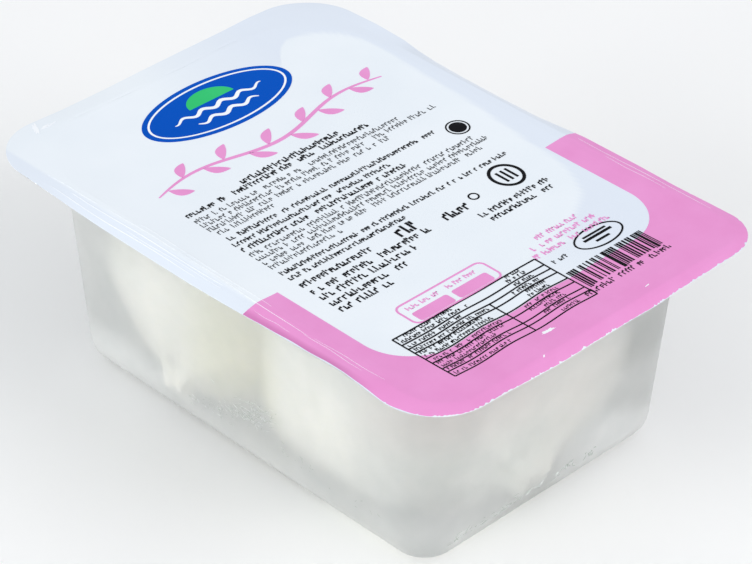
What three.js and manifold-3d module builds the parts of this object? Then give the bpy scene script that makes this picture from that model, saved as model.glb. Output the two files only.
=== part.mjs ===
// Sealed pack of burrata: a milky plastic tray under a sealed film lid,
// with two burrata cheeses floating in their liquid.
// Millimetres, +Z up, the long side along Y, the tray standing on Z = 0.
import * as THREE from 'three';
import { mergeVertices } from 'three/addons/utils/BufferGeometryUtils.js';
import Module from 'manifold-3d';

const wasm = await Module();
wasm.setup();

// Tray body, outside: width along X, length along Y, corners in plan
const BASE_WIDTH = 83.3;
const BASE_LENGTH = 124.6;
const BASE_CORNER = 9.1;
const BASE_FILLET = 6.9;
const MOUTH_WIDTH = 97.2;
const MOUTH_LENGTH = 141.7;
const MOUTH_CORNER = 23.3;
const MOUTH_FILLET = 1.5;
const WALL = 0.8;

// Flange round the mouth, whose edge hangs lower about the middle of each side
const FLANGE_WIDTH = 112;
const FLANGE_LENGTH = 158.6;
const FLANGE_CORNER = 16;
const PEEL_CORNER = 11.5;
const FLANGE_TOP = 60.6;
const FLANGE_THICKNESS = 0.7;
const LONG_SIDE_DROOP = 1.6;
const LONG_SIDE_DROOP_MIDDLE = 8;
const LONG_SIDE_DROOP_HALF = 52;
const BACK_DROOP = 0.4;
const BACK_DROOP_HALF = 44;
const FRONT_DROOP = 1.9;
const FRONT_DROOP_HALF = 58;
const FLANGE_BEND = 0.5;

// Film lid, sealed to the flange and sagging a little over the mouth
const FILM_THICKNESS = 0.35;
const FILM_EDGE_INSET = 0.3;
const FILM_SEAL_GAP = 0.05;
const FILM_SAG = 0.7;
const FILM_SAG_REACH = 9;

// Burrata: half sizes of the flattened ball, how full it is (2 is an ellipsoid), and the draw of its skin
const BURRATA_HALF = new THREE.Vector3(39, 29.5, 25.7);
const BURRATA_FULLNESS = 2.7;
const BURRATA_UNEVEN = 0.018;
const SKIN_WAVES = [new THREE.Vector3(2.6, 1.9, 0), new THREE.Vector3(0, 3.4, -2.2)];
const KNOT_STEEPNESS = 5;

// The two cheeses float end to end, each with its knot low down against a wall;
// lean makes them fuller where they meet than at their outer ends
const CHEESES = {
  burrata_back: {
    centre: new THREE.Vector3(-2.5, 29.8, 30),
    knot: new THREE.Vector3(-36.8, -3.8, -23.6),
    knotRadius: 3.8,
    phase: 0.4,
    lean: -0.5,
  },
  burrata_front: {
    centre: new THREE.Vector3(-2.5, -29.8, 30),
    knot: new THREE.Vector3(-2.5, -30.5, -20.3),
    knotRadius: 5.5,
    phase: 2.1,
    lean: 0.5,
  },
};

// Liquid round the cheeses
const LIQUID_LEVEL = 54;
const FIT_GAP = 0.3;

// Fineness of the faceted surfaces
const CORNER_STEPS = 8;
const SIDE_STEPS = 6;
const FILLET_STEPS = 4;
const WALL_STEPS = 4;
const FILM_RINGS = 7;
const BURRATA_RINGS = 20;
const BURRATA_SIDES = 32;
const POLE_CROWDING = 1.5;

const { lerp } = THREE.MathUtils;

// Steps from 0 to 1, both ends included
function fractions(steps) {
  return Array.from({ length: steps + 1 }, (_, i) => i / steps);
}

// Quarters of the plan, anticlockwise from +X +Y
const QUARTERS = [[1, 1], [-1, 1], [-1, -1], [1, -1]];

// A rounded rectangle at one height, anticlockwise, always with the same number of points;
// the peel corner, at +X -Y, has a radius of its own
function roundedRectangle({ width, length, corner, peelCorner = corner }, z) {
  const arcs = QUARTERS.map(([sideX, sideY], quarter) => {
    const radius = quarter === QUARTERS.length - 1 ? peelCorner : corner;
    const x = sideX * (width / 2 - radius);
    const y = sideY * (length / 2 - radius);
    const start = quarter * Math.PI / 2;
    const arc = new THREE.EllipseCurve(x, y, radius, radius, start, start + Math.PI / 2);
    return arc.getPoints(CORNER_STEPS);
  });
  const outline = arcs.flatMap((arc, quarter) => {
    const from = arc.at(-1);
    const to = arcs[(quarter + 1) % arcs.length][0];
    const side = fractions(SIDE_STEPS).slice(1, -1).map((t) => from.clone().lerp(to, t));
    return [...arc, ...side];
  });
  return outline.map(({ x, y }) => new THREE.Vector3(x, y, z));
}

// Two triangles over a four-cornered patch, split along its shorter diagonal,
// so that faces which lie on each other are split alike
function splitQuad([a, b, c, d], points) {
  const alongAC = points[a].distanceTo(points[c]) < points[b].distanceTo(points[d]);
  return alongAC ? [a, b, c, a, c, d] : [a, b, d, b, c, d];
}

// A closed skin over rings of equal point count, each end drawn to its middle
function stack(rings) {
  const count = rings[0].length;
  const tip = (ring) => ring.reduce((sum, p) => sum.add(p), new THREE.Vector3()).divideScalar(count);
  const points = [...rings.flat(), tip(rings[0]), tip(rings.at(-1))];
  const firstTip = points.length - 2;
  const lastTip = points.length - 1;
  const lastRing = (rings.length - 1) * count;
  const triangles = [];
  for (let i = 0; i < count; i += 1) {
    const next = (i + 1) % count;
    triangles.push(firstTip, next, i, lastTip, lastRing + i, lastRing + next);
    for (let row = 0; row < lastRing; row += count) {
      const corners = [row + i, row + next, row + count + next, row + count + i];
      triangles.push(...splitQuad(corners, points));
    }
  }
  const geometry = new THREE.BufferGeometry().setFromPoints(points);
  geometry.setIndex(triangles);
  return geometry;
}

// Plan of the tray body at a height, drawn in by an inset all round
function bodyPlan(z, inset) {
  const rise = z / FLANGE_TOP;
  return {
    width: lerp(BASE_WIDTH, MOUTH_WIDTH, rise) - 2 * inset,
    length: lerp(BASE_LENGTH, MOUTH_LENGTH, rise) - 2 * inset,
    corner: lerp(BASE_CORNER, MOUTH_CORNER, rise) - inset,
  };
}

function bodyRing(z, inset) {
  return roundedRectangle(bodyPlan(z, inset), z);
}

// Rings of the body from its floor up: the rounded foot, then the sloping wall
function bodyRings(floor, inset, top) {
  const radius = BASE_FILLET - inset;
  const foot = fractions(FILLET_STEPS).map((t) => {
    const turn = t * Math.PI / 2;
    return bodyRing(floor + radius * (1 - Math.cos(turn)), inset + radius * (1 - Math.sin(turn)));
  });
  const wall = fractions(WALL_STEPS).slice(1).map((t) => bodyRing(lerp(floor + radius, top, t), inset));
  return [...foot, ...wall];
}

// How far the flange's edge hangs at a place on the outline, next to nothing at the corners
function edgeDroop({ x, y }) {
  const bump = (offset, half) => Math.max(0, 1 - (offset / half) ** 2) ** 2;
  const alongSide = bump(y - LONG_SIDE_DROOP_MIDDLE, LONG_SIDE_DROOP_HALF);
  const front = FRONT_DROOP * bump(x, FRONT_DROOP_HALF);
  const back = BACK_DROOP * bump(x, BACK_DROOP_HALF);
  return LONG_SIDE_DROOP * alongSide + (y < 0 ? front : back);
}

// A ring on the flange, from its root at 0 to its edge at 1, bent down towards the edge
function flangeRing(reach, z) {
  const root = bodyPlan(FLANGE_TOP, -MOUTH_FILLET);
  const plan = {
    width: lerp(root.width, FLANGE_WIDTH, reach),
    length: lerp(root.length, FLANGE_LENGTH, reach),
    corner: lerp(root.corner, FLANGE_CORNER, reach),
    peelCorner: lerp(root.corner, PEEL_CORNER, reach),
  };
  const ring = roundedRectangle(plan, z);
  ring.forEach((point) => {
    point.z -= reach ** 2 * edgeDroop(point);
  });
  return ring;
}

// The tray: out up the wall and flange, then back in and down to the inner floor
function trayGeometry() {
  const underside = FLANGE_TOP - FLANGE_THICKNESS;
  const innerFillet = MOUTH_FILLET + WALL;
  const turns = fractions(FILLET_STEPS).slice(1).map((t) => t * Math.PI / 2);
  const outerNeck = turns.map((turn) => bodyRing(
    underside - MOUTH_FILLET * (1 - Math.sin(turn)),
    -MOUTH_FILLET * (1 - Math.cos(turn)),
  ));
  const innerNeck = turns.map((turn) => bodyRing(
    FLANGE_TOP - innerFillet * (1 - Math.cos(turn)),
    WALL - innerFillet * (1 - Math.sin(turn)),
  ));
  const inside = bodyRings(WALL, WALL, FLANGE_TOP - innerFillet).slice(0, -1);
  return stack([
    ...bodyRings(0, 0, underside - MOUTH_FILLET),
    ...outerNeck,
    flangeRing(FLANGE_BEND, underside),
    flangeRing(1, underside),
    flangeRing(1, FLANGE_TOP),
    flangeRing(FLANGE_BEND, FLANGE_TOP),
    flangeRing(0, FLANGE_TOP),
    ...innerNeck,
    ...inside.reverse(),
  ]);
}

// One face of the film, from its middle out to its edge
function filmFace(z) {
  const root = bodyPlan(FLANGE_TOP, -MOUTH_FILLET);
  const middle = fractions(FILM_RINGS).slice(1, -1).map((t) => {
    const inset = (1 - t) * root.width / 2;
    const plan = {
      width: root.width - 2 * inset,
      length: root.length - 2 * inset,
      corner: root.corner * t,
    };
    const sag = FILM_SAG * (1 - Math.exp(-inset / FILM_SAG_REACH));
    return roundedRectangle(plan, z - sag);
  });
  const edge = 1 - 2 * FILM_EDGE_INSET / (FLANGE_WIDTH - root.width);
  return [...middle, flangeRing(0, z), flangeRing(FLANGE_BEND, z), flangeRing(edge, z)];
}

// The film, with the underside of its seal at height 0
function filmGeometry() {
  return stack([...filmFace(0), ...filmFace(FILM_THICKNESS).reverse()]);
}

// Merges shared points and drops the triangles that the merging collapses
function welded(geometry) {
  geometry.deleteAttribute('normal');
  geometry.deleteAttribute('uv');
  const merged = mergeVertices(geometry);
  const index = Array.from(merged.index.array);
  const kept = [];
  for (let i = 0; i < index.length; i += 3) {
    const [a, b, c] = index.slice(i, i + 3);
    if (a !== b && b !== c && c !== a) kept.push(a, b, c);
  }
  merged.setIndex(kept);
  return merged;
}

// The point of a full, flattened ball in the direction of a point on the unit sphere
function onBall(direction, lean) {
  const fullness = BURRATA_FULLNESS + lean * direction.y;
  const powers = direction.toArray().map((part) => Math.abs(part) ** fullness);
  const size = powers.reduce((sum, power) => sum + power, 0) ** (1 / fullness);
  return direction.clone().multiply(BURRATA_HALF).divideScalar(size);
}

// Such a ball about its own centre, slowly uneven, its skin drawn out at one place into a knot
function burrataGeometry({ knot, knotRadius, phase, lean }, grow = 0) {
  const profile = fractions(BURRATA_RINGS).map((t) => {
    const angle = Math.PI * t ** POLE_CROWDING;
    return new THREE.Vector2(Math.sin(angle), Math.cos(angle));
  });
  const geometry = welded(new THREE.LatheGeometry(profile.reverse(), BURRATA_SIDES));

  const knotPole = knot.clone().divide(BURRATA_HALF).normalize();
  const knotHeight = knot.length() - onBall(knotPole, lean).length();
  const knotAngle = knotRadius / BURRATA_HALF.y;
  const knotDirection = knot.clone().normalize();
  const turn = new THREE.Quaternion().setFromUnitVectors(new THREE.Vector3(0, 1, 0), knotPole);

  const position = geometry.getAttribute('position');
  for (let i = 0; i < position.count; i += 1) {
    const onSphere = new THREE.Vector3().fromBufferAttribute(position, i).applyQuaternion(turn);
    const waves = SKIN_WAVES.reduce((sum, wave) => sum + Math.sin(onSphere.dot(wave) + phase), 0);
    const angle = onSphere.angleTo(knotPole);
    const lift = knotHeight / (1 + (angle / knotAngle) ** KNOT_STEEPNESS);
    const point = onBall(onSphere, lean).multiplyScalar(1 + BURRATA_UNEVEN * waves);
    point.addScaledVector(knotDirection, lift).addScaledVector(onSphere, grow);
    position.setXYZ(i, point.x, point.y, point.z);
  }
  return geometry;
}

function solid(geometry) {
  return new wasm.Manifold(new wasm.Mesh({
    numProp: 3,
    vertProperties: Float32Array.from(geometry.getAttribute('position').array),
    triVerts: Uint32Array.from(geometry.index.array),
  }));
}

// The liquid fills the tray to its level and is cut round the cheeses, whose tops break its surface
function liquidGeometry() {
  const filling = solid(stack(bodyRings(WALL + FIT_GAP, WALL + FIT_GAP, LIQUID_LEVEL)));
  const cut = Object.values(CHEESES).reduce((rest, cheese) => {
    const hollow = burrataGeometry(cheese, FIT_GAP).translate(...cheese.centre);
    return rest.subtract(solid(hollow));
  }, filling);
  const { vertProperties, triVerts } = cut.getMesh();
  const geometry = new THREE.BufferGeometry();
  geometry.setAttribute('position', new THREE.BufferAttribute(vertProperties, 3));
  geometry.setIndex(new THREE.BufferAttribute(triVerts, 1));
  return geometry;
}

function piece(name, geometry, look, place = new THREE.Vector3()) {
  const mesh = new THREE.Mesh(geometry, new THREE.MeshStandardMaterial({ metalness: 0, ...look }));
  mesh.name = name;
  mesh.position.copy(place);
  return mesh;
}

const milkyPlastic = { color: 0xdfe4e0, roughness: 0.4, transparent: true, opacity: 0.6 };
const printedFilm = { color: 0xe9f0f8, roughness: 0.3 };
const freshCheese = { color: 0xf3f2ea, roughness: 0.5 };
const cloudyLiquid = { color: 0xc4ccc2, roughness: 0.2, transparent: true, opacity: 0.5 };

const sealPlace = new THREE.Vector3(0, 0, FLANGE_TOP + FILM_SEAL_GAP);

const pack = new THREE.Group();
pack.add(piece('tray', trayGeometry(), milkyPlastic));
pack.add(piece('lid_film', filmGeometry(), printedFilm, sealPlace));
for (const [name, cheese] of Object.entries(CHEESES)) {
  pack.add(piece(name, burrataGeometry(cheese), freshCheese, cheese.centre));
}
pack.add(piece('liquid', liquidGeometry(), cloudyLiquid));

export default pack;
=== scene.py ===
"""Dressed model of a sealed pack of burrata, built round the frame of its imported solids.

A milky thermoformed tray, a printed film sealed over its flange, two fresh cheeses and the liquid
that they float in. Shapes are worked out in millimetres and turned to metres where a mesh is made.
The long side lies along Y with the blue label at +Y, and the tray stands on Z = 0.
"""

import logging
from dataclasses import dataclass
from enum import Enum
from math import cos, pi, radians, sin
from typing import Any

import bpy
import numpy as np
from mathutils import Matrix, Vector


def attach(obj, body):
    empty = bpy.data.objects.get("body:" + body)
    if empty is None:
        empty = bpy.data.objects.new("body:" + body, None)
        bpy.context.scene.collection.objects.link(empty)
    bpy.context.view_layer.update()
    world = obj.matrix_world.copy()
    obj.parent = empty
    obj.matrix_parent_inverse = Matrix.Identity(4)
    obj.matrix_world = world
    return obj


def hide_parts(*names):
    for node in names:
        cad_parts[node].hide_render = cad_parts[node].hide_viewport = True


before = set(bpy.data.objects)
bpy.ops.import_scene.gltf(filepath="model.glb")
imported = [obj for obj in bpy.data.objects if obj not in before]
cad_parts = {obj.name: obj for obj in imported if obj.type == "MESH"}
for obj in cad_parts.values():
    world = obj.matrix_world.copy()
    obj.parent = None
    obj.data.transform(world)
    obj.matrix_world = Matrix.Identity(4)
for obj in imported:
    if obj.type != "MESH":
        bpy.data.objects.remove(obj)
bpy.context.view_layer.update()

MM = 0.001
SHARP_ANGLE = radians(40)
LOG = logging.getLogger("burrata_pack")
CLOUD_DARK = 0.3
CLOUD_LIGHT = 0.7
Skin = tuple[np.ndarray, np.ndarray]
Stops = tuple[tuple[float, float, float], ...]


class Slot(Enum):
    """Names of the material slots."""

    TRAY = "milky_plastic"
    FILM = "printed_film"
    CHEESE = "fresh_cheese"
    LIQUID = "cloudy_liquid"


class Ends(Enum):
    """How a stack of rings is closed."""

    ZIPPED = "each end ring is shut by faces between its opposite points"
    JOINED = "the last ring is joined to the first"


class Weight(Enum):
    """Stroke width of a printed line, as a share of its letter height."""

    REGULAR = 0.115
    SEMIBOLD = 0.18
    BOLD = 0.195
    HEAVY = 0.19


def skin(rings: np.ndarray, ends: Ends = Ends.ZIPPED) -> Skin:
    """Closed skins over stacks of rings.

    Neighbouring rings are joined by four-cornered faces. A zipped end is shut by faces between
    the points i and count - 1 - i of its ring.

    Args:
        rings: Points of shape (..., rows, count, 3). Each ring runs anticlockwise seen from the
            side that its stack grows to, and count is even.
        ends: How the stacks are closed.

    Returns:
        Points of shape (n, 3) and faces of shape (m, 4).
    """
    stacks = rings.reshape((-1,) + rings.shape[-3:])
    index = np.arange(stacks[..., 0].size).reshape(stacks.shape[:3])
    after = np.roll(index, -1, axis=2)
    if ends is Ends.JOINED:
        above, above_after = np.roll(index, -1, axis=1), np.roll(after, -1, axis=1)
        faces = np.stack([index, after, above_after, above], axis=-1).reshape(-1, 4)
        return stacks.reshape(-1, 3), faces
    sides = np.stack([index[:, :-1], after[:, :-1], after[:, 1:], index[:, 1:]], axis=-1)
    half = index.shape[2] // 2
    near, far = index[:, :, :half], index[:, :, ::-1][:, :, :half]
    shut = np.stack([near[..., :-1], near[..., 1:], far[..., 1:], far[..., :-1]], axis=-1)
    groups = (sides, shut[:, -1], shut[:, 0, :, ::-1])
    return stacks.reshape(-1, 3), np.concatenate([group.reshape(-1, 4) for group in groups])


def joined(skins: list[Skin]) -> Skin:
    """Several skins as one, their faces renumbered.

    Args:
        skins: Points and faces of each.

    Returns:
        All points and all faces.
    """
    starts = np.cumsum([0] + [len(points) for points, _ in skins[:-1]])
    faces = [faces + start for (_, faces), start in zip(skins, starts)]
    return np.concatenate([points for points, _ in skins]), np.concatenate(faces)


def make_piece(
    name: str, shape: Skin, finish: "Finish", node: str = ""
) -> bpy.types.Object:
    """Make a piece of the pack that moves with its one body.

    Args:
        name: The piece's name.
        shape: Points in millimetres, and faces.
        finish: What it is dressed in.
        node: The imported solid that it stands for, if any.

    Returns:
        The new object.
    """
    points, faces = shape
    mesh = bpy.data.meshes.new(name)
    mesh.from_pydata((points * MM).tolist(), [], faces.tolist())
    mesh.shade_smooth()
    mesh.set_sharp_from_angle(angle=SHARP_ANGLE)
    mesh.materials.append(finish.material())
    piece = bpy.data.objects.new(name, mesh)
    bpy.context.scene.collection.objects.link(piece)
    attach(piece, "root")
    if node:
        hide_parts(node)
    return piece


def carry(piece: bpy.types.Object, name: str, values: np.ndarray) -> None:
    """Give each point of a piece a value that its finish reads.

    Args:
        piece: The piece.
        name: The value's name.
        values: One number for each point.
    """
    attribute = piece.data.attributes.new(name, "FLOAT", "POINT")
    attribute.data.foreach_set("value", values.astype(np.float32))


def evenly(points: np.ndarray, count: int) -> np.ndarray:
    """Places at even steps along a line through points, without its end.

    Args:
        points: Points of shape (n, 2).
        count: How many places.

    Returns:
        Places of shape (count, 2).
    """
    run = np.concatenate([[0], np.cumsum(np.linalg.norm(np.diff(points, axis=0), axis=1))])
    at = np.linspace(0, run[-1], count, endpoint=False)
    return np.column_stack([np.interp(at, run, points[:, axis]) for axis in (0, 1)])


def linear(colour: str) -> tuple[float, float, float, float]:
    """An sRGB hex colour as linear red, green, blue and full alpha.

    Args:
        colour: Six hex digits after a hash sign.

    Returns:
        The four linear values.
    """
    srgb = np.array([int(colour[i:i + 2], 16) for i in (1, 3, 5)]) / 255
    light = np.where(srgb <= 0.04045, srgb / 12.92, ((srgb + 0.055) / 1.055) ** 2.4)
    return (*light.tolist(), 1.0)


def per_size(size: float) -> float:
    """Scale of a pattern in object coordinates whose marks are this many millimetres apart."""
    return 1 / (size * MM)


def add_node(
    tree: bpy.types.NodeTree, kind: str, inputs: dict[Any, Any], **settings: Any
) -> bpy.types.Node:
    """Add one node, set it, and fill its sockets.

    Args:
        tree: The tree that it goes into.
        kind: The node's type.
        inputs: Values, or output sockets to link, by the input's name or number.
        settings: The node's own properties.

    Returns:
        The new node.
    """
    node = tree.nodes.new(kind)
    for name, value in settings.items():
        setattr(node, name, value)
    for socket, value in inputs.items():
        if isinstance(value, bpy.types.NodeSocket):
            tree.links.new(value, node.inputs[socket])
        else:
            node.inputs[socket].default_value = value
    return node


class Finish:
    """A finish on one Principled shader; each kind adds its own patterns."""

    name: str

    def material(self) -> bpy.types.Material:
        """The finish's material, made at its first use.

        Returns:
            The material.
        """
        known = bpy.data.materials.get(self.name)
        if known:
            return known
        material = bpy.data.materials.new(self.name)
        material.use_nodes = True
        tree = material.node_tree
        tree.nodes.clear()
        shader = add_node(tree, "ShaderNodeBsdfPrincipled", {})
        output = add_node(tree, "ShaderNodeOutputMaterial", {"Surface": shader.outputs[0]})
        self.dress(tree, shader, output)
        return material

    def dress(
        self, tree: bpy.types.NodeTree, shader: bpy.types.Node, output: bpy.types.Node
    ) -> None:
        """Set the shader and link its patterns.

        Args:
            tree: The material's nodes.
            shader: Its Principled shader.
            output: Its output.
        """
        raise NotImplementedError

    def let_lamps_in(
        self, tree: bpy.types.NodeTree, shader: bpy.types.Node, output: bpy.types.Node, tint: str
    ) -> None:
        """Let lamp light pass straight through, so that what is behind the surface is lit.

        Args:
            tree: The material's nodes.
            shader: Its Principled shader.
            output: Its output.
            tint: Hex colour that the light takes.
        """
        clear = add_node(tree, "ShaderNodeBsdfTransparent", {"Color": linear(tint)}).outputs[0]
        lamp_ray = add_node(tree, "ShaderNodeLightPath", {}).outputs["Is Shadow Ray"]
        mix = {0: lamp_ray, 1: shader.outputs[0], 2: clear}
        tree.links.new(add_node(tree, "ShaderNodeMixShader", mix).outputs[0], output.inputs["Surface"])

    def cloud(self, tree: bpy.types.NodeTree, size: float, detail: float) -> bpy.types.NodeSocket:
        """Soft uneven grey in object coordinates.

        Args:
            tree: The material's nodes.
            size: Width of its largest marks in millimetres.
            detail: How many finer layers it has.

        Returns:
            The grey value, from about 0.25 to 0.75.
        """
        place = add_node(tree, "ShaderNodeTexCoord", {}).outputs["Object"]
        settings = {"Vector": place, "Scale": per_size(size), "Detail": detail}
        return add_node(tree, "ShaderNodeTexNoise", settings).outputs[0]

    def between(
        self, tree: bpy.types.NodeTree, grey: bpy.types.NodeSocket, low: Any, high: Any
    ) -> bpy.types.NodeSocket:
        """Colours or numbers spread over a cloud's usual range.

        Args:
            tree: The material's nodes.
            grey: The cloud.
            low: Hex colour or number where the cloud is dark.
            high: Hex colour or number where it is light.

        Returns:
            The mixed colour or number.
        """
        spread = {0: grey, 1: CLOUD_DARK, 2: CLOUD_LIGHT}
        share = add_node(tree, "ShaderNodeMapRange", spread).outputs[0]
        if isinstance(low, str):
            ends = {"Factor": share, 6: linear(low), 7: linear(high)}
            return add_node(tree, "ShaderNodeMix", ends, data_type="RGBA").outputs[2]
        return add_node(tree, "ShaderNodeMix", {"Factor": share, 2: low, 3: high}).outputs[0]

    def tinted(
        self, tree: bpy.types.NodeTree, colour: bpy.types.NodeSocket, name: str, tone: str
    ) -> bpy.types.NodeSocket:
        """A colour that turns to a tone by the share that the mesh carries under a name.

        Args:
            tree: The material's nodes.
            colour: The colour at share 0.
            name: The carried value's name.
            tone: Hex colour at share 1.

        Returns:
            The mixed colour.
        """
        share = add_node(tree, "ShaderNodeAttribute", {}, attribute_name=name).outputs["Fac"]
        ends = {"Factor": share, 6: colour, 7: linear(tone)}
        return add_node(tree, "ShaderNodeMix", ends, data_type="RGBA").outputs[2]


@dataclass(frozen=True)
class MilkyPolypropylene(Finish):
    """Thermoformed polypropylene sheet: lets light through but scatters it, with a satin skin."""

    name: str = "milky_polypropylene_sheet"
    dark: str = "#EDEFEE"
    light: str = "#F4F5F4"
    clearest: float = 0.8
    milkiest: float = 0.45
    smoothest: float = 0.29
    roughest: float = 0.37
    ior: float = 1.49
    mottle: float = 7.0
    passed: str = "#F6F6F4"

    def dress(
        self, tree: bpy.types.NodeTree, shader: bpy.types.Node, output: bpy.types.Node
    ) -> None:
        """Milky haze is the share that isn't transmitted, more where the mesh says it is milkier.

        Args:
            tree: The material's nodes.
            shader: Its Principled shader.
            output: Its output.
        """
        cloud = self.cloud(tree, self.mottle, detail=3)
        milk = add_node(tree, "ShaderNodeAttribute", {}, attribute_name="milk").outputs["Fac"]
        passing = {"Factor": milk, 2: self.clearest, 3: self.milkiest}
        passing = add_node(tree, "ShaderNodeMix", passing).outputs[0]
        tree.links.new(passing, shader.inputs["Transmission Weight"])
        shader.inputs["IOR"].default_value = self.ior
        tree.links.new(self.between(tree, cloud, self.dark, self.light), shader.inputs["Base Color"])
        tree.links.new(
            self.between(tree, cloud, self.smoothest, self.roughest), shader.inputs["Roughness"]
        )
        self.let_lamps_in(tree, shader, output, self.passed)


@dataclass(frozen=True)
class SealFilm(Finish):
    """White printed polyester film: smooth, softly glossy, with bluer painted shade on its seal ring."""

    name: str = "white_polyester_film"
    open_low: str = "#E9F0F6"
    open_high: str = "#EEF4F9"
    # Bluer, darker painted shade over the seal ring's right side and the hanging left edge.
    sealed: str = "#E0E8F3"
    roughness: float = 0.32
    mottle: float = 24.0

    def dress(
        self, tree: bpy.types.NodeTree, shader: bpy.types.Node, output: bpy.types.Node
    ) -> None:
        """The painted shade over the seal follows the share that the mesh carries.

        Args:
            tree: The material's nodes.
            shader: Its Principled shader.
            output: Its output.
        """
        cloud = self.cloud(tree, self.mottle, detail=2)
        white = self.between(tree, cloud, self.open_low, self.open_high)
        colour = self.tinted(tree, white, "seal_shade_share", self.sealed)
        tree.links.new(colour, shader.inputs["Base Color"])
        shader.inputs["Roughness"].default_value = self.roughness


@dataclass(frozen=True)
class PrintInk(Finish):
    """Gravure ink on film: thin, even, duller than the film, a little mottled by the press."""

    name: str
    low: str
    high: str
    roughness: float = 0.5
    gloss: float = 0.12
    mottle: float = 9.0
    # Darker pink painted as shade where the mesh says so.
    deep: str = ""

    def dress(
        self, tree: bpy.types.NodeTree, shader: bpy.types.Node, output: bpy.types.Node
    ) -> None:
        """Mottle of a few millimetres between two near colours, darker where the mesh says so, as painted
        shade.

        Args:
            tree: The material's nodes.
            shader: Its Principled shader.
            output: Its output.
        """
        colour = self.between(tree, self.cloud(tree, self.mottle, detail=3), self.low, self.high)
        if self.deep:
            colour = self.tinted(tree, colour, "deep", self.deep)
        tree.links.new(colour, shader.inputs["Base Color"])
        shader.inputs["Roughness"].default_value = self.roughness
        shader.inputs["Specular IOR Level"].default_value = self.gloss


@dataclass(frozen=True)
class FreshCheese(Finish):
    """Moist stretched curd: creamy white, light sinks a few millimetres into it."""

    name: str = "fresh_stretched_curd"
    low: str = "#FAF5E9"
    high: str = "#FFFAF1"
    cream: str = "#FFF6BC"
    # Painted pink reflection of the pink ink above, and painted shade low at the cheese's end.
    pink_reflection: str = "#EBD2CA"
    shade: str = "#E0DED5"
    roughness: float = 0.42
    sink: float = 0.2
    depth: float = 3.0
    depth_shares: tuple[float, float, float] = (1.0, 0.9, 0.7)
    mottle: float = 11.0

    def dress(
        self, tree: bpy.types.NodeTree, shader: bpy.types.Node, output: bpy.types.Node
    ) -> None:
        """White patches, yellower, or painted pink reflection and shade where the mesh says so; light sinks
        in.

        Args:
            tree: The material's nodes.
            shader: Its Principled shader.
            output: Its output.
        """
        colour = self.between(tree, self.cloud(tree, self.mottle, detail=3), self.low, self.high)
        for name, tone in (("cream", self.cream), ("pink_reflection", self.pink_reflection), ("shade", self.shade)):
            colour = self.tinted(tree, colour, name, tone)
        tree.links.new(colour, shader.inputs["Base Color"])
        shader.inputs["Roughness"].default_value = self.roughness
        shader.inputs["Subsurface Weight"].default_value = self.sink
        shader.inputs["Subsurface Radius"].default_value = self.depth_shares
        shader.inputs["Subsurface Scale"].default_value = self.depth * MM


@dataclass(frozen=True)
class CloudyLiquid(Finish):
    """Brine clouded with whey: bends light as water does and greys it green with depth."""

    name: str = "cloudy_brine"
    surface: str = "#FFFFFF"
    passed: str = "#FFFFFF"
    tint: str = "#9AC1B1"
    density: float = 7.0
    ior: float = 1.34
    roughness: float = 0.05

    def dress(
        self, tree: bpy.types.NodeTree, shader: bpy.types.Node, output: bpy.types.Node
    ) -> None:
        """Clear surface over an absorbing volume.

        Args:
            tree: The material's nodes.
            shader: Its Principled shader.
            output: Its output.
        """
        shader.inputs["Base Color"].default_value = linear(self.surface)
        shader.inputs["Transmission Weight"].default_value = 1
        shader.inputs["IOR"].default_value = self.ior
        shader.inputs["Roughness"].default_value = self.roughness
        settings = {"Color": linear(self.tint), "Density": self.density}
        volume = add_node(tree, "ShaderNodeVolumeAbsorption", settings).outputs[0]
        tree.links.new(volume, output.inputs["Volume"])
        self.let_lamps_in(tree, shader, output, self.passed)


@dataclass(frozen=True)
class Frost(Finish):
    """Fine ice on the wall: pale, half clear, catching light as thin bright lines."""

    name: str = "frost"
    low: str = "#DCE4DF"
    high: str = "#FFFFFF"
    dark: str = "#C2CAC2"
    transmission: float = 0.05
    roughness: float = 0.4
    mottle: float = 1.0

    def dress(
        self, tree: bpy.types.NodeTree, shader: bpy.types.Node, output: bpy.types.Node
    ) -> None:
        """Uneven, and darker in the needles that the mesh says are clear.

        Args:
            tree: The material's nodes.
            shader: Its Principled shader.
            output: Its output.
        """
        colour = self.between(tree, self.cloud(tree, self.mottle, detail=2), self.low, self.high)
        colour = self.tinted(tree, colour, "clear_ice", self.dark)
        tree.links.new(colour, shader.inputs["Base Color"])
        shader.inputs["Transmission Weight"].default_value = self.transmission
        shader.inputs["Roughness"].default_value = self.roughness


@dataclass(frozen=True)
class PaleFloor(Finish):
    """Matt painted board for the pack to stand on."""

    name: str = "pale_board"
    low: str = "#F9F9F8"
    high: str = "#FDFDFC"
    roughness: float = 0.7
    mottle: float = 180.0

    def dress(
        self, tree: bpy.types.NodeTree, shader: bpy.types.Node, output: bpy.types.Node
    ) -> None:
        """Almost even white.

        Args:
            tree: The material's nodes.
            shader: Its Principled shader.
            output: Its output.
        """
        cloud = self.cloud(tree, self.mottle, detail=2)
        tree.links.new(self.between(tree, cloud, self.low, self.high), shader.inputs["Base Color"])
        shader.inputs["Roughness"].default_value = self.roughness


@dataclass(frozen=True)
class Spread:
    """Steps along each corner, end and side of a rounded rectangle; the ends' number is odd."""

    corner: int
    end: int
    side: int


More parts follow.
